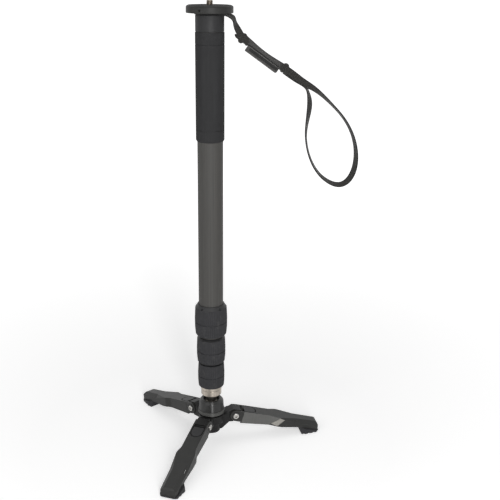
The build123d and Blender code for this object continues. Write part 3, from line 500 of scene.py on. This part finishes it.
def patch_finish(colour):
    """Soft moulded patch with a leather-like grain, darker in its sunk field, with a painted shadow
    line along its upper edge.
    """
    finish = Finish("patch_rubber", colour, 0.66, specular=0.25)
    grain = finish.noise(1300)
    finish.shade(finish.noise(150), 0.85, 1.15, *CLOUD)
    start = BAND_START.dot(BAND_ALONG) + PATCH_START
    middle = BAND_START.dot(BAND_UP) + FIELD_MIDDLE
    half = FIELD_HEIGHT / 2
    lengthwise = finish.zone(BAND_ALONG, start + FIELD_START, start + FIELD_END, 0.0002)
    crosswise = finish.zone(BAND_UP, middle - half, middle + half, 0.0002)
    finish.overlay(finish.product(lengthwise, crosswise), DARK_FIELD_AND_SHADOW)
    # Painted shadow: a dark line along the patch's upper edge, where it meets the band
    top = BAND_START.dot(BAND_UP) + PATCH_MIDDLE + PATCH_HEIGHT / 2
    finish.overlay(finish.zone(BAND_UP, top - 0.0005, top + 0.0005, 0.0002), DARK_FIELD_AND_SHADOW)
    finish.gloss(grain, 0.6, 0.76)
    return finish.relief(grain, 0.00006, 0.6).material


def thread_finish(colour):
    """Sewing thread, twisted and slightly shiny."""
    finish = Finish("sewing_thread", colour, 0.6, specular=0.3)
    twist = finish.noise(3000, detail=1)
    finish.shade(twist, 0.8, 1.2, *CLOUD)
    finish.gloss(twist, 0.52, 0.68)
    return finish.relief(twist, 0.00003, 0.6).material


# Modelling helpers

# Camera stud: radii of its threads, where they end inside its flange, and the flange
UPPER_RADIUS, LOWER_RADIUS = 0.0047625, 0.003175
UPPER_FOOT, LOWER_TOP = -0.0002, -0.0014
STUD_FLANGE_RADIUS, STUD_FLANGE_HEIGHT = 0.0064, 0.0016
# Thread: depth as a share of its pitch, and the slant at its upper end
TOOTH_SHARE = 0.42
THREAD_CHAMFER = 0.0006
# Stitch: half length as a share of its pitch, half depth and half height
STITCH_SHARE = 0.42
STITCH_DEPTH, STITCH_HEIGHT = 0.00024, 0.00032


def start():
    """Leave edit mode and select nothing."""
    if bpy.context.object is not None and bpy.context.object.mode != "OBJECT":
        bpy.ops.object.mode_set(mode="OBJECT")
    bpy.ops.object.select_all(action="DESELECT")


def keep_alone(obj):
    """Make one object the only one selected."""
    start()
    obj.select_set(True)
    bpy.context.view_layer.objects.active = obj


def leave_edit():
    bpy.ops.object.mode_set(mode="OBJECT")


def edit_all(obj):
    """Go to edit mode with everything selected."""
    keep_alone(obj)
    bpy.ops.object.mode_set(mode="EDIT")
    bpy.ops.mesh.select_all(action="SELECT")


def edit_picked(obj, kind, parts, wanted):
    """Go to edit mode with only the edges or faces selected that a test accepts."""
    keep_alone(obj)
    bpy.ops.object.mode_set(mode="EDIT")
    bpy.ops.mesh.select_mode(type=kind)
    bpy.ops.mesh.select_all(action="DESELECT")
    leave_edit()
    for part in parts:
        part.select = wanted(part)
    bpy.ops.object.mode_set(mode="EDIT")


def edit_edges(obj, wanted):
    """Go to edit mode with only the edges selected whose two ends a test accepts."""
    vertices = obj.data.vertices
    edit_picked(obj, "EDGE", obj.data.edges,
                lambda edge: wanted(*(vertices[end].co for end in edge.vertices)))


def apply_scale(obj, scale):
    """Scale an object and its mesh with it."""
    obj.scale = scale
    bpy.ops.object.transform_apply(location=False, rotation=False, scale=True)


def apply_modifier(obj, kind, **settings):
    """Add one modifier with its settings and apply it."""
    keep_alone(obj)
    modifier = obj.modifiers.new(kind.title(), kind)
    for key, value in settings.items():
        setattr(modifier, key, value)
    bpy.ops.object.modifier_apply(modifier=modifier.name)


def face_outwards(obj):
    """Merge doubles and turn all faces outwards."""
    edit_all(obj)
    bpy.ops.mesh.remove_doubles(threshold=1e-6)
    bpy.ops.mesh.normals_make_consistent(inside=False)
    leave_edit()


def settle(obj, name, body, material, smooth=math.radians(35)):
    """Apply the place, name the piece, and give it its finish and body."""
    keep_alone(obj)
    bpy.ops.object.transform_apply(location=True, rotation=True, scale=True)
    bpy.ops.object.shade_smooth_by_angle(angle=smooth)
    obj.name = name
    obj.data.name = name
    obj.data.materials.clear()
    obj.data.materials.append(material)
    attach(obj, body)


def join_pieces(pieces):
    """Join pieces to one object."""
    start()
    for piece in pieces:
        piece.select_set(True)
    bpy.context.view_layer.objects.active = pieces[0]
    bpy.ops.object.join()
    return bpy.context.object


def model_stitch(pitch):
    """One stitch that lies along the band, a little pulled in at its ends."""
    start()
    bpy.ops.mesh.primitive_uv_sphere_add(segments=6, ring_count=6, radius=1)
    stitch = bpy.context.object
    stitch.rotation_euler = (0, math.pi / 2, 0)
    bpy.ops.object.transform_apply(location=False, rotation=True, scale=False)
    apply_scale(stitch, (pitch * STITCH_SHARE, STITCH_DEPTH, STITCH_HEIGHT))
    stitch.rotation_euler = (0, BAND_SLOPE, 0)
    return stitch


def sew(pitch, places):
    """A stitch at each place."""
    stitch = model_stitch(pitch)
    copies = []
    for place in places:
        twin = stitch.copy()
        twin.data = stitch.data.copy()
        twin.location = place
        bpy.context.scene.collection.objects.link(twin)
        copies.append(twin)
    bpy.data.objects.remove(stitch)
    return copies


def cut_thread(radius, pitch, foot, top):
    """Threaded rod on the pole's axis: one tooth screwed upwards, then cut off flat."""
    start()
    depth = pitch * TOOTH_SHARE
    bpy.ops.mesh.primitive_circle_add(vertices=5, radius=radius, fill_type="NOTHING")
    rod = bpy.context.object
    tooth = ((depth, -0.5), (0, -0.16), (0, 0.16), (depth, 0.42), (depth, 0.5))
    for vertex, (sink, rise) in zip(rod.data.vertices, tooth):
        vertex.co = (radius - sink, 0, foot - pitch * (1 - rise))
    edit_edges(rod, lambda a, b: abs(a.z - b.z) > pitch * 0.9)
    bpy.ops.mesh.delete(type="EDGE")
    leave_edit()
    turns = math.ceil((top - foot) / pitch) + 2
    apply_modifier(rod, "SCREW", angle=2 * math.pi, screw_offset=pitch, iterations=turns,
                   steps=32, render_steps=32)
    face_outwards(rod)
    for vertex in rod.data.vertices:
        reach = math.hypot(vertex.co.x, vertex.co.y)
        limit = radius - THREAD_CHAMFER + min(max(top - vertex.co.z, 0), THREAD_CHAMFER)
        if reach > limit:
            vertex.co.x *= limit / reach
            vertex.co.y *= limit / reach
    for height, way in ((foot, -1), (top, 1)):
        edit_all(rod)
        bpy.ops.mesh.bisect(plane_co=(0, 0, height), plane_no=(0, 0, way), use_fill=True,
                            clear_outer=True)
        leave_edit()
    face_outwards(rod)
    return rod


# Places along the strap

BAND_SLOPE = math.radians(35.5)
BAND_START = Vector((0.0538, 0, -0.0504))
BAND_ALONG = Vector((math.cos(BAND_SLOPE), 0, -math.sin(BAND_SLOPE)))
BAND_UP = Vector((math.sin(BAND_SLOPE), 0, math.cos(BAND_SLOPE)))
BAND_LENGTH = 0.066
BAND_FOOT = -0.0036
# Where a layer's middle and its outer face lie beside the band's middle, in thicknesses
LAYER_SHARE, FACE_SHARE = 0.56, 1.08
SEAM_INSET = 0.0014
PATCH_START = 0.0056
PATCH_LENGTH = 0.057
PATCH_HEIGHT = 0.0099
PATCH_THICKNESS = 0.0040
PATCH_MIDDLE = -0.0079
# Sunk field of the patch, the border round it and the width of its slanted wall
FIELD_START = 0.0050
FIELD_END = 0.0545
FIELD_HEIGHT = 0.0039
FIELD_MIDDLE = -0.0071
FIELD_DEPTH = 0.0005
PATCH_BORDER = 0.0015
FIELD_WALL = 0.0002
# Rounding of the patch's lower and upper end
END_ROUNDINGS = ((1, 0.0028), (-1, 0.0008))

# Turns of webbing in the two knots: along the band, up from its middle line, half height,
# half depth, lean and width
UPPER_KNOT = (
    (-0.0108, 0.0012, 0.0056, 0.0034, 0.0042, 0.0096),
    (-0.0068, -0.0024, 0.0052, 0.0036, 0.0004, 0.0088),
    (0.0016, -0.0008, 0.0044, 0.0029, -0.0010, 0.0070),
)
LOWER_KNOT = (
    (0.0712, 0.0014, 0.0068, 0.0040, -0.0022, 0.0098),
    (0.0688, 0.0002, 0.0058, 0.0037, 0.0010, 0.0080),
)
# Rounded middle of each knot: along, up, half length, half depth, half height
UPPER_CORE = (-0.0076, 0.0004, 0.0092, 0.0032, 0.0062)
LOWER_CORE = (0.0692, 0.0004, 0.0080, 0.0036, 0.0058)
# How far the edges of a turn fall below its middle
CROWN = 0.0021
# Radius of the tube of the ring from which a turn is shaped, for a ring of radius 1
RING_TUBE = 0.25

# The wrist loop's route: x and depth in metres, side of the middle plane, twist in degrees
WRIST_ROUTE = (
    (0.1110, 0.0900, -1, 0), (0.1246, 0.0991, -1, 3), (0.1345, 0.1070, -1, 9),
    (0.1455, 0.1134, -1, 24), (0.1559, 0.1192, -1, 46), (0.1660, 0.1270, -1, 60),
    (0.1760, 0.1358, 0, 68), (0.1875, 0.1470, 0, 74), (0.1985, 0.1583, 0, 76),
    (0.2093, 0.1731, 0, 76), (0.2182, 0.1909, 0, 74), (0.2236, 0.2118, 0, 68),
    (0.2242, 0.2334, 0, 58), (0.2196, 0.2518, 0, 50), (0.2100, 0.2646, 0, 52),
    (0.1970, 0.2684, 0, 60), (0.1820, 0.2624, 0, 68), (0.1682, 0.2516, 0, 74),
    (0.1576, 0.2364, 0, 76), (0.1504, 0.2194, 0, 77), (0.1462, 0.2018, 0, 77),
    (0.1450, 0.1858, 0, 72), (0.1466, 0.1698, 0, 62), (0.1492, 0.1548, 1, 47),
    (0.1503, 0.1418, 1, 41), (0.1486, 0.1300, 1, 58), (0.1452, 0.1195, 1, 80),
    (0.1395, 0.1116, 1, 40), (0.1320, 0.1070, 1, 12), (0.1225, 0.1010, 1, 2),
    (0.1110, 0.0930, 1, 0),
)
# One strand of the neck loop: x, sideways, fall below the loop's plane, twist
NECK_RADIUS = 0.0175
STRAND_ROUTE = (
    (0.0000, 0.0175, 0.0000, 90), (0.0105, 0.0170, 0.0000, 90), (0.0215, 0.0136, 0.0004, 84),
    (0.0292, 0.0099, 0.0021, 58), (0.0353, 0.0068, 0.0057, 41), (0.0363, 0.0048, 0.0111, 68),
    (0.0384, 0.0034, 0.0172, 36), (0.0422, 0.0022, 0.0240, 8), (0.0470, 0.0019, 0.0325, 0),
)


def edge_direction(along, twist):
    """Direction across the webbing: 0 degrees lies face-on to the front, 90 stands edge-on."""
    along = along.normalized()
    flat = Vector((0, 1, 0)).cross(along).normalized()
    side = along.cross(flat).normalized()
    angle = math.radians(twist)
    return flat * math.cos(angle) + side * math.sin(angle)


def route_stations(points, twists):
    """Centre and edge direction at each point of a route."""
    stations = []
    for index, point in enumerate(points):
        before = points[max(index - 1, 0)]
        after = points[min(index + 1, len(points) - 1)]
        stations.append((point, edge_direction(after - before, twists[index])))
    return stations


def band_point(along, up=0.0, front=0.0):
    """A place in the band's own frame: along it, up across it and out to the front."""
    return BAND_START + BAND_ALONG * along + BAND_UP * up + Vector((0, -front, 0))


def band_frame(sizes, share):
    """Lower edge, direction across and direction outwards at a share of the band's length."""
    lean = sizes.end_lean + (sizes.band_lean - sizes.end_lean) * math.sin(math.pi * share)
    across = BAND_UP * math.cos(lean) + Vector((0, 1, 0)) * math.sin(lean)
    out = Vector((0, 1, 0)) * math.cos(lean) - BAND_UP * math.sin(lean)
    return band_point(BAND_LENGTH * share, BAND_FOOT), across, out


def band_stations(sizes, offset):
    """Stations of one layer of the band, whose upper edge leans back."""
    stations = []
    for step in range(9):
        foot, across, out = band_frame(sizes, step / 8)
        stations.append((foot + across * (sizes.web_width / 2) + out * offset, across))
    return stations


def wind_turn(along, up, rise, depth, lean, width, thickness):
    """One soft turn of webbing round the strap. Its UV map is in metres."""
    start()
    bpy.ops.mesh.primitive_torus_add(
        major_segments=36, minor_segments=12, major_radius=1, minor_radius=RING_TUBE)
    turn = bpy.context.object
    spots = {}
    for vertex in turn.data.vertices:
        angle = math.atan2(vertex.co.y, vertex.co.x)
        out = (math.hypot(vertex.co.x, vertex.co.y) - 1) / RING_TUBE
        across = vertex.co.z / RING_TUBE
        spots[vertex.index] = (angle, across)
        swell = out * thickness / 2 - CROWN * across * across
        vertex.co = band_point(along + lean * math.sin(angle) + across * width / 2,
                               up + (rise + swell) * math.sin(angle),
                               (depth + swell) * math.cos(angle))
    uv = turn.data.uv_layers.active.data
    for loop in turn.data.loops:
        angle, across = spots[loop.vertex_index]
        uv[loop.index].uv = (BODY_MIDDLE + across * width / 2, angle * (rise + depth) / 2)
    return turn


def stuff_core(along, up, half_length, half_depth, half_height):
    """Rounded lump of webbing inside a knot. Its UV map is about in metres."""
    start()
    bpy.ops.mesh.primitive_cube_add(size=2)
    core = bpy.context.object
    apply_scale(core, (half_length, half_depth, half_height))
    uv = core.data.uv_layers.active.data
    for loop in core.data.loops:
        place = core.data.vertices[loop.vertex_index].co
        uv[loop.index].uv = (BODY_MIDDLE + place.z * 0.6, place.x)
    apply_modifier(core, "BEVEL", width=half_depth * 0.6, segments=2)
    apply_modifier(core, "SUBSURF", levels=2, render_levels=2)
    core.rotation_euler = (0, BAND_SLOPE, 0)
    core.location = band_point(along, up)
    return core


def lay_webbing(stations, width, thickness):
    """Webbing through stations of a centre and an edge direction. Its UV map is in metres."""
    start()
    rows = len(stations)
    columns = 2
    bpy.ops.mesh.primitive_grid_add(x_subdivisions=columns, y_subdivisions=rows - 1, size=1)
    obj = bpy.context.object
    lengths = [0.0]
    for (here, _), (there, _) in zip(stations, stations[1:]):
        lengths.append(lengths[-1] + (there - here).length)
    across = stations[0][1]
    directions = []
    for _, direction in stations:
        across = direction if direction.dot(across) >= 0 else -direction
        directions.append(across)
    spots = {}
    for vertex in obj.data.vertices:
        column = round((vertex.co.x + 0.5) * columns)
        row = round((vertex.co.y + 0.5) * (rows - 1))
        spots[vertex.index] = (column, row)
        offset = (column / columns - 0.5) * width
        vertex.co = stations[row][0] + directions[row] * offset
    uv = obj.data.uv_layers.active.data
    for loop in obj.data.loops:
        column, row = spots[loop.vertex_index]
        uv[loop.index].uv = (column / columns * width, lengths[row])
    apply_modifier(obj, "SUBSURF", levels=2, render_levels=2,
                   boundary_smooth="PRESERVE_CORNERS")
    apply_modifier(obj, "SOLIDIFY", thickness=thickness, offset=0)
    apply_modifier(obj, "BEVEL", width=thickness * 0.3, segments=2, limit_method="ANGLE",
                   angle_limit=math.radians(60))
    return obj, lengths[-1]


# Studio

# Colour of the floor's paper, and distance from the pole and strength of its own light
PAPER = (0.86, 0.86, 0.86, 1)
NEAR, NEAR_LIFT = 0.3, 0.46
FAR, FAR_LIFT = 1.8, 0.9
ROOM_STRENGTH = 0.28
# Name, place, target, width and height in metres, power in watts
LAMPS = (
    ("key", (0.28, -1.9, -0.05), (0, 0, -0.5), (0.27, 1.3), 25),
    ("fill", (-1.4, -1.7, 0.5), (0, 0, -0.35), (1.4, 1.4), 9),
    ("top", (0.2, 0.5, 1.9), (0, 0, -0.4), (1.6, 1.6), 6),
)
# The camera that was fitted to the photograph: millimetres, metres and radians
SENSOR, FOCAL_LENGTH = 36, 60.873
CAMERA_PLACE = (0, -1.26973, 0.0523)
YAW, PITCH, ROLL = 0.04896, 0.32304, 0.011


class MONOPOD_OT_stage(bpy.types.Operator):
    """Lay the white floor, light the studio and set the camera"""
    bl_idname = "monopod.stage"
    bl_label = "Studio"

    def execute(self, context):
        self.lay_floor()
        self.light_studio(context.scene)
        self.set_camera(context.scene)
        context.scene.view_settings.view_transform = "Standard"
        return {"FINISHED"}

    @staticmethod
    def seen_directly(tree):
        """Node that gives 1 for rays from the camera, a mirror or glass."""
        path = tree.add("ShaderNodeLightPath")
        first = tree.add("ShaderNodeMath", operation="MAXIMUM")
        second = tree.add("ShaderNodeMath", operation="MAXIMUM")
        tree.join(path, "Is Camera Ray", first, 0)
        tree.join(path, "Is Glossy Ray", first, 1)
        tree.join(first, 0, second, 0)
        tree.join(path, "Is Transmission Ray", second, 1)
        return second

    def lay_floor(self):
        start()
        bpy.ops.mesh.primitive_plane_add(size=60, location=(0, 0, FLOOR))
        floor = bpy.context.object
        floor.name = "studio_floor"
        material = bpy.data.materials.new("studio_floor")
        tree = NodeTree(material)
        output = tree.add("ShaderNodeOutputMaterial")
        both = tree.add("ShaderNodeAddShader")
        paper = tree.add("ShaderNodeBsdfDiffuse", {"Color": PAPER})
        lift = tree.add("ShaderNodeEmission")
        places = tree.add("ShaderNodeTexCoord")
        distance = tree.add("ShaderNodeVectorMath", operation="LENGTH")
        spread = tree.add("ShaderNodeMapRange", {
            "From Min": NEAR, "From Max": FAR, "To Min": NEAR_LIFT, "To Max": FAR_LIFT})
        strength = tree.add("ShaderNodeMath", operation="MULTIPLY")
        tree.join(places, "Object", distance, 0)
        tree.join(distance, "Value", spread, "Value")
        tree.join(self.seen_directly(tree), 0, strength, 0)
        tree.join(spread, "Result", strength, 1)
        tree.join(strength, 0, lift, "Strength")
        tree.join(paper, 0, both, 0)
        tree.join(lift, 0, both, 1)
        tree.join(both, 0, output, "Surface")
        floor.data.materials.append(material)

    def light_studio(self, scene):
        scene.world = scene.world or bpy.data.worlds.new("studio")
        tree = NodeTree(scene.world)
        output = tree.add("ShaderNodeOutputWorld")
        mix = tree.add("ShaderNodeMixShader")
        white = (1, 1, 1, 1)
        room = tree.add("ShaderNodeBackground", {
            "Color": white, "Strength": ROOM_STRENGTH})
        backdrop = tree.add("ShaderNodeBackground", {"Color": white})
        tree.join(self.seen_directly(tree), 0, mix, "Fac")
        tree.join(room, 0, mix, 1)
        tree.join(backdrop, 0, mix, 2)
        tree.join(mix, 0, output, "Surface")
        for lamp in LAMPS:
            self.add_lamp(*lamp)

    @staticmethod
    def add_lamp(name, place, target, size, power):
        lamp = bpy.data.lights.new(name, "AREA")
        lamp.shape = "RECTANGLE"
        lamp.size, lamp.size_y = size
        lamp.energy = power
        obj = bpy.data.objects.new(name, lamp)
        obj.location = place
        aim = Vector(target) - Vector(place)
        obj.rotation_euler = aim.to_track_quat("-Z", "Y").to_euler()
        bpy.context.scene.collection.objects.link(obj)

    @staticmethod
    def set_camera(scene):
        data = bpy.data.cameras.new("photo_camera")
        data.sensor_width = SENSOR
        data.lens = FOCAL_LENGTH
        data.clip_start = 0.05
        data.clip_end = 200
        ahead = Vector((math.sin(YAW) * math.cos(PITCH), math.cos(YAW) * math.cos(PITCH),
                        -math.sin(PITCH)))
        right = Vector((math.cos(YAW), -math.sin(YAW), 0))
        up = right.cross(ahead)
        rolled_right = right * math.cos(ROLL) + up * math.sin(ROLL)
        rolled_up = up * math.cos(ROLL) - right * math.sin(ROLL)
        turn = Matrix((rolled_right, rolled_up, -ahead)).transposed()
        camera = bpy.data.objects.new("photo_camera", data)
        camera.matrix_world = Matrix.Translation(CAMERA_PLACE) @ turn.to_4x4()
        scene.collection.objects.link(camera)
        scene.camera = camera


# Steps of the making

# The legs' edges are sharper than those of the other castings, by this share
LEG_EDGE_SHARE = 0.6


class MONOPOD_OT_finish_frame(bpy.types.Operator):
    """Give every CAD piece its finish"""
    bl_idname = "monopod.finish_frame"
    bl_label = "Finishes"

    def execute(self, context):
        colours = context.scene.monopod_colours
        radius = context.scene.monopod_sizes.edge_radius
        tube = tube_finish(colours.tube)
        lock_rubber = rubber_finish("lock_rubber", colours.rubber, 0.25)
        toe_rubber = rubber_finish("toe_rubber", colours.rubber, 0.4)
        nickel = nickel_finish("turned_nickel", colours.nickel)
        inlay = nickel_finish("brushed_inlay", colours.inlay, turned=False)
        bright = steel_finish("bright_steel", colours.steel)
        dark = steel_finish("dark_steel", tone(92, 92, 94))
        black_nylon = nylon_finish("black_nylon", tone(34, 34, 35))
        white_nylon = nylon_finish("white_nylon", tone(222, 221, 216), 0.4)
        plan = {
            "mounting_plate": plate_finish(colours.plate, radius),
            "plate_pad": pad_finish(tone(30, 30, 30)),
            "plate_set_screw": steel_finish("blackened_screw", tone(40, 40, 40), 0.36),
            "head_collar": collar_finish(colours.collar),
            "grip_sleeve": foam_finish(colours.foam),
            "ball_stem": steel_finish("blackened_ball", tone(106, 102, 97), 0.42),
            "ball_collar": dome_finish(colours.dome),
            # The hub's darker colour is painted shade under the dome's flange
            "hub": cast_finish("hub_paint", colours.hub, radius, shine=0.2),
            "foot_adapter": nickel, "coupling_ring": nickel, "ball_seat": white_nylon,
            "hinge_bolts": bright, "hinge_nuts": bright, "hinge_washers": dark,
        }
        for number in range(1, 5):
            plan[f"tube_{number}"] = tube
        for number in range(2, 5):
            plan[f"bushing_{number}"] = white_nylon
        for number in range(1, 4):
            plan[f"lock_{number}_ferrule"] = dark
            plan[f"lock_{number}_collet"] = white_nylon
            plan[f"lock_{number}_collar"] = black_nylon
            plan[f"lock_{number}_grip"] = lock_rubber
        for side in LEG_SIDES:
            plan[f"leg_{side}"] = cast_finish(
                f"painted_leg_{side}", colours.cast, radius * LEG_EDGE_SHARE, flank_reflection_side=side)
            plan[f"toe_pad_{side}"] = toe_rubber
            plan[f"leg_inlay_{side}"] = inlay
            plan[f"leg_latch_{side}"] = black_nylon
            plan[f"latch_spring_{side}"] = bright
        for node, material in plan.items():
            for slot in nodes[node].material_slots:
                slot.material = material
        return {"FINISHED"}


class MONOPOD_OT_camera_stud(bpy.types.Operator):
    """Cut the camera stud's two threads and turn its flange"""
    bl_idname = "monopod.camera_stud"
    bl_label = "Camera stud"

    def execute(self, context):
        sizes = context.scene.monopod_sizes
        foot, top = (corner[2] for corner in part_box("camera_stud"))
        upper = cut_thread(UPPER_RADIUS, sizes.thread_pitch, UPPER_FOOT, top)
        lower = cut_thread(LOWER_RADIUS, sizes.shank_pitch, foot, LOWER_TOP)
        start()
        bpy.ops.mesh.primitive_cylinder_add(
            vertices=64, radius=STUD_FLANGE_RADIUS, depth=STUD_FLANGE_HEIGHT,
            location=(0, 0, -STUD_FLANGE_HEIGHT / 2))
        flange = bpy.context.object
        edit_all(flange)
        bpy.ops.mesh.bevel(offset=0.00025, segments=3)
        leave_edit()
        stud = join_pieces([flange, upper, lower])
        steel = steel_finish("stud_steel", tone(132, 123, 112), 0.36)
        settle(stud, "stud", "upper_section", steel, math.radians(30))
        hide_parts("camera_stud")
        return {"FINISHED"}


class MONOPOD_OT_strap(bpy.types.Operator):
    """Hang the strap: neck loop, double band and wrist loop, and tie its two knots"""
    bl_idname = "monopod.strap"
    bl_label = "Strap webbing"

    def execute(self, context):
        sizes = context.scene.monopod_sizes
        colours = context.scene.monopod_colours
        self.webbing = webbing_finish("webbing", colours.webbing)
        self.band_webbing = webbing_finish("band_webbing", colours.band)
        self.thread = thread_finish(tone(40, 40, 40))
        self.hang_wrist_loop(sizes)
        self.lay_neck_loop(sizes)
        self.stretch_band(sizes)
        return {"FINISHED"}

    @staticmethod
    def settle_webbing(piece, name, material):
        settle(piece, name, "strap", material, math.radians(60))

    def tie_knot(self, name, turns, core, node, thickness):
        """Turns of webbing over a rounded middle, joined to one knot."""
        pieces = [wind_turn(*turn, thickness) for turn in turns]
        pieces.append(stuff_core(*core))
        knot = join_pieces(pieces)
        face_outwards(knot)
        self.settle_webbing(knot, name, self.webbing)
        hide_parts(node)
        return knot

    def hang_wrist_loop(self, sizes):
        points = [Vector((x, side * sizes.strand_offset, -depth))
                  for x, depth, side, _ in WRIST_ROUTE]
        stations = route_stations(points, [twist for *_, twist in WRIST_ROUTE])
        loop, length = lay_webbing(stations, sizes.web_width, sizes.web_thickness)
        self.settle_webbing(loop, "wrist_loop", self.webbing)
        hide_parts("strap_wrist_loop")
        knot = self.tie_knot("lower_knot", LOWER_KNOT, LOWER_CORE, "strap_slide",
                             sizes.fold_thickness)

    def lay_neck_loop(self, sizes):
        stations = self.strand_stations(STRAND_ROUTE[::-1], -1)
        for step in range(1, 12):
            angle = -math.pi / 2 - math.pi * step / 12
            out = Vector((math.cos(angle), math.sin(angle), 0))
            stations.append((out * NECK_RADIUS + Vector((0, 0, LOOP_HEIGHT)), out))
        stations += self.strand_stations(STRAND_ROUTE, 1)
        loop, length = lay_webbing(stations, sizes.neck_width, sizes.web_thickness)
        self.settle_webbing(loop, "neck_loop", self.webbing)
        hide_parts("strap_neck_loop")
        knot = self.tie_knot("upper_knot", UPPER_KNOT, UPPER_CORE, "strap_keeper",
                             sizes.fold_thickness)

    @staticmethod
    def strand_stations(route, side):
        """Stations of the neck loop's strand on one side of the strap's middle plane."""
        points = [Vector((x, side * sideways, LOOP_HEIGHT - fall))
                  for x, sideways, fall, _ in route]
        return route_stations(points, [twist for *_, twist in route])

    def stretch_band(self, sizes):
        stitches = []
        for side, name in ((-1, "band_front"), (1, "band_back")):
            stations = band_stations(sizes, side * sizes.web_thickness * LAYER_SHARE)
            layer, length = lay_webbing(stations, sizes.web_width, sizes.web_thickness)
            self.settle_webbing(layer, name, self.band_webbing)
            stitches += sew(sizes.stitch_pitch, self.seam_places(sizes, side))
        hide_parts("strap_band")
        rows = join_pieces(stitches)
        settle(rows, "band_stitches", "strap", self.thread)

    @staticmethod
    def seam_places(sizes, side):
        """Places of the stitches near both edges of one layer, on its outer face."""
        face = side * sizes.web_thickness * FACE_SHARE
        count = int(BAND_LENGTH / sizes.stitch_pitch)
        for height in (SEAM_INSET, sizes.web_width - SEAM_INSET):
            for number in range(2, count - 1):
                foot, across, out = band_frame(sizes, (number + 0.5) / count)
                yield foot + across * height + out * face


class MONOPOD_OT_patch(bpy.types.Operator):
    """Mould the bare patch under the band and sew its border"""
    bl_idname = "monopod.patch"
    bl_label = "Patch"

    def execute(self, context):
        pitch = context.scene.monopod_sizes.stitch_pitch
        patch = self.mould()
        settle(patch, "patch", "strap", patch_finish(tone(58, 57, 56)))
        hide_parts("strap_label")
        seams = join_pieces(sew(pitch, self.seam_places(pitch)))
        thread = thread_finish(tone(108, 107, 105))
        settle(seams, "patch_stitches", "strap", thread)
        return {"FINISHED"}

    @staticmethod
    def seam_places(pitch):
        """Places of the stitches along both long edges of both faces."""
        first = PATCH_START + 0.0025
        count = int((PATCH_LENGTH - 0.006) / pitch)
        edge = PATCH_HEIGHT / 2 - 0.0011
        for side in (-1, 1):
            for rise in (-edge, edge):
                for number in range(count):
                    yield band_point(first + (number + 0.5) * pitch, PATCH_MIDDLE + rise,
                                     side * PATCH_THICKNESS / 2)

    @staticmethod
    def mould():
        """Block with rounded ends, a sunk field on both faces and softened edges."""
        start()
        bpy.ops.mesh.primitive_cube_add(size=1)
        patch = bpy.context.object
        apply_scale(patch, (PATCH_LENGTH, PATCH_THICKNESS, PATCH_HEIGHT))
        edit_picked(patch, "FACE", patch.data.polygons, lambda face: abs(face.normal.y) > 0.9)
        bpy.ops.mesh.inset(thickness=PATCH_BORDER, depth=0)
        bpy.ops.mesh.inset(thickness=FIELD_WALL, depth=0)
        leave_edit()
        field_low = FIELD_MIDDLE - FIELD_HEIGHT / 2 - PATCH_MIDDLE
        field_high = FIELD_MIDDLE + FIELD_HEIGHT / 2 - PATCH_MIDDLE
        for vertex in patch.data.vertices:
            place = vertex.co
            if abs(place.z) > PATCH_HEIGHT / 2 - PATCH_BORDER / 2:
                continue
            inner = abs(place.x) < PATCH_LENGTH / 2 - PATCH_BORDER - FIELD_WALL / 2
            slack = 0 if inner else FIELD_WALL
            place.z = field_low - slack if place.z < 0 else field_high + slack
            place.x = (FIELD_START - PATCH_LENGTH / 2 - slack if place.x < 0
                       else FIELD_END - PATCH_LENGTH / 2 + slack)
            if inner:
                place.y -= math.copysign(FIELD_DEPTH, place.y)
        for way, rounding in END_ROUNDINGS:
            edge = way * PATCH_LENGTH / 2
            edit_edges(patch, lambda a, b: abs(a.y - b.y) > 0.001 and abs(a.x - edge) < 1e-5
                       and abs(b.x - edge) < 1e-5)
            bpy.ops.mesh.bevel(offset=rounding, segments=6)
            leave_edit()
        apply_modifier(patch, "BEVEL", width=0.00035, segments=2, limit_method="ANGLE",
                       angle_limit=math.radians(50))
        patch.rotation_euler = (0, BAND_SLOPE, 0)
        patch.location = band_point(PATCH_START + PATCH_LENGTH / 2, PATCH_MIDDLE)
        return patch


class MONOPOD_PT_sidebar(bpy.types.Panel):
    """Lists the monopod's steps"""
    bl_idname = "MONOPOD_PT_sidebar"
    bl_label = "Monopod"
    bl_space_type = "VIEW_3D"
    bl_region_type = "UI"
    bl_category = "Monopod"

    def draw(self, context):
        column = self.layout.column()
        for step in STEPS:
            column.operator(step.bl_idname)


STEPS = (
    MONOPOD_OT_stage,
    MONOPOD_OT_finish_frame,
    MONOPOD_OT_camera_stud,
    MONOPOD_OT_strap,
    MONOPOD_OT_patch,
)
CLASSES = (MonopodSizes, MonopodColours, *STEPS, MONOPOD_PT_sidebar)


def register():
    for cls in CLASSES:
        bpy.utils.register_class(cls)
    bpy.types.Scene.monopod_sizes = bpy.props.PointerProperty(type=MonopodSizes)
    bpy.types.Scene.monopod_colours = bpy.props.PointerProperty(type=MonopodColours)


def unregister():
    del bpy.types.Scene.monopod_colours
    del bpy.types.Scene.monopod_sizes
    for cls in reversed(CLASSES):
        bpy.utils.unregister_class(cls)


def main():
    """Run every step in order."""
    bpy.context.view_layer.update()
    register()
    bpy.ops.monopod.stage()
    bpy.ops.monopod.finish_frame()
    bpy.ops.monopod.camera_stud()
    bpy.ops.monopod.strap()
    bpy.ops.monopod.patch()


if __name__ == "__main__":
    main()
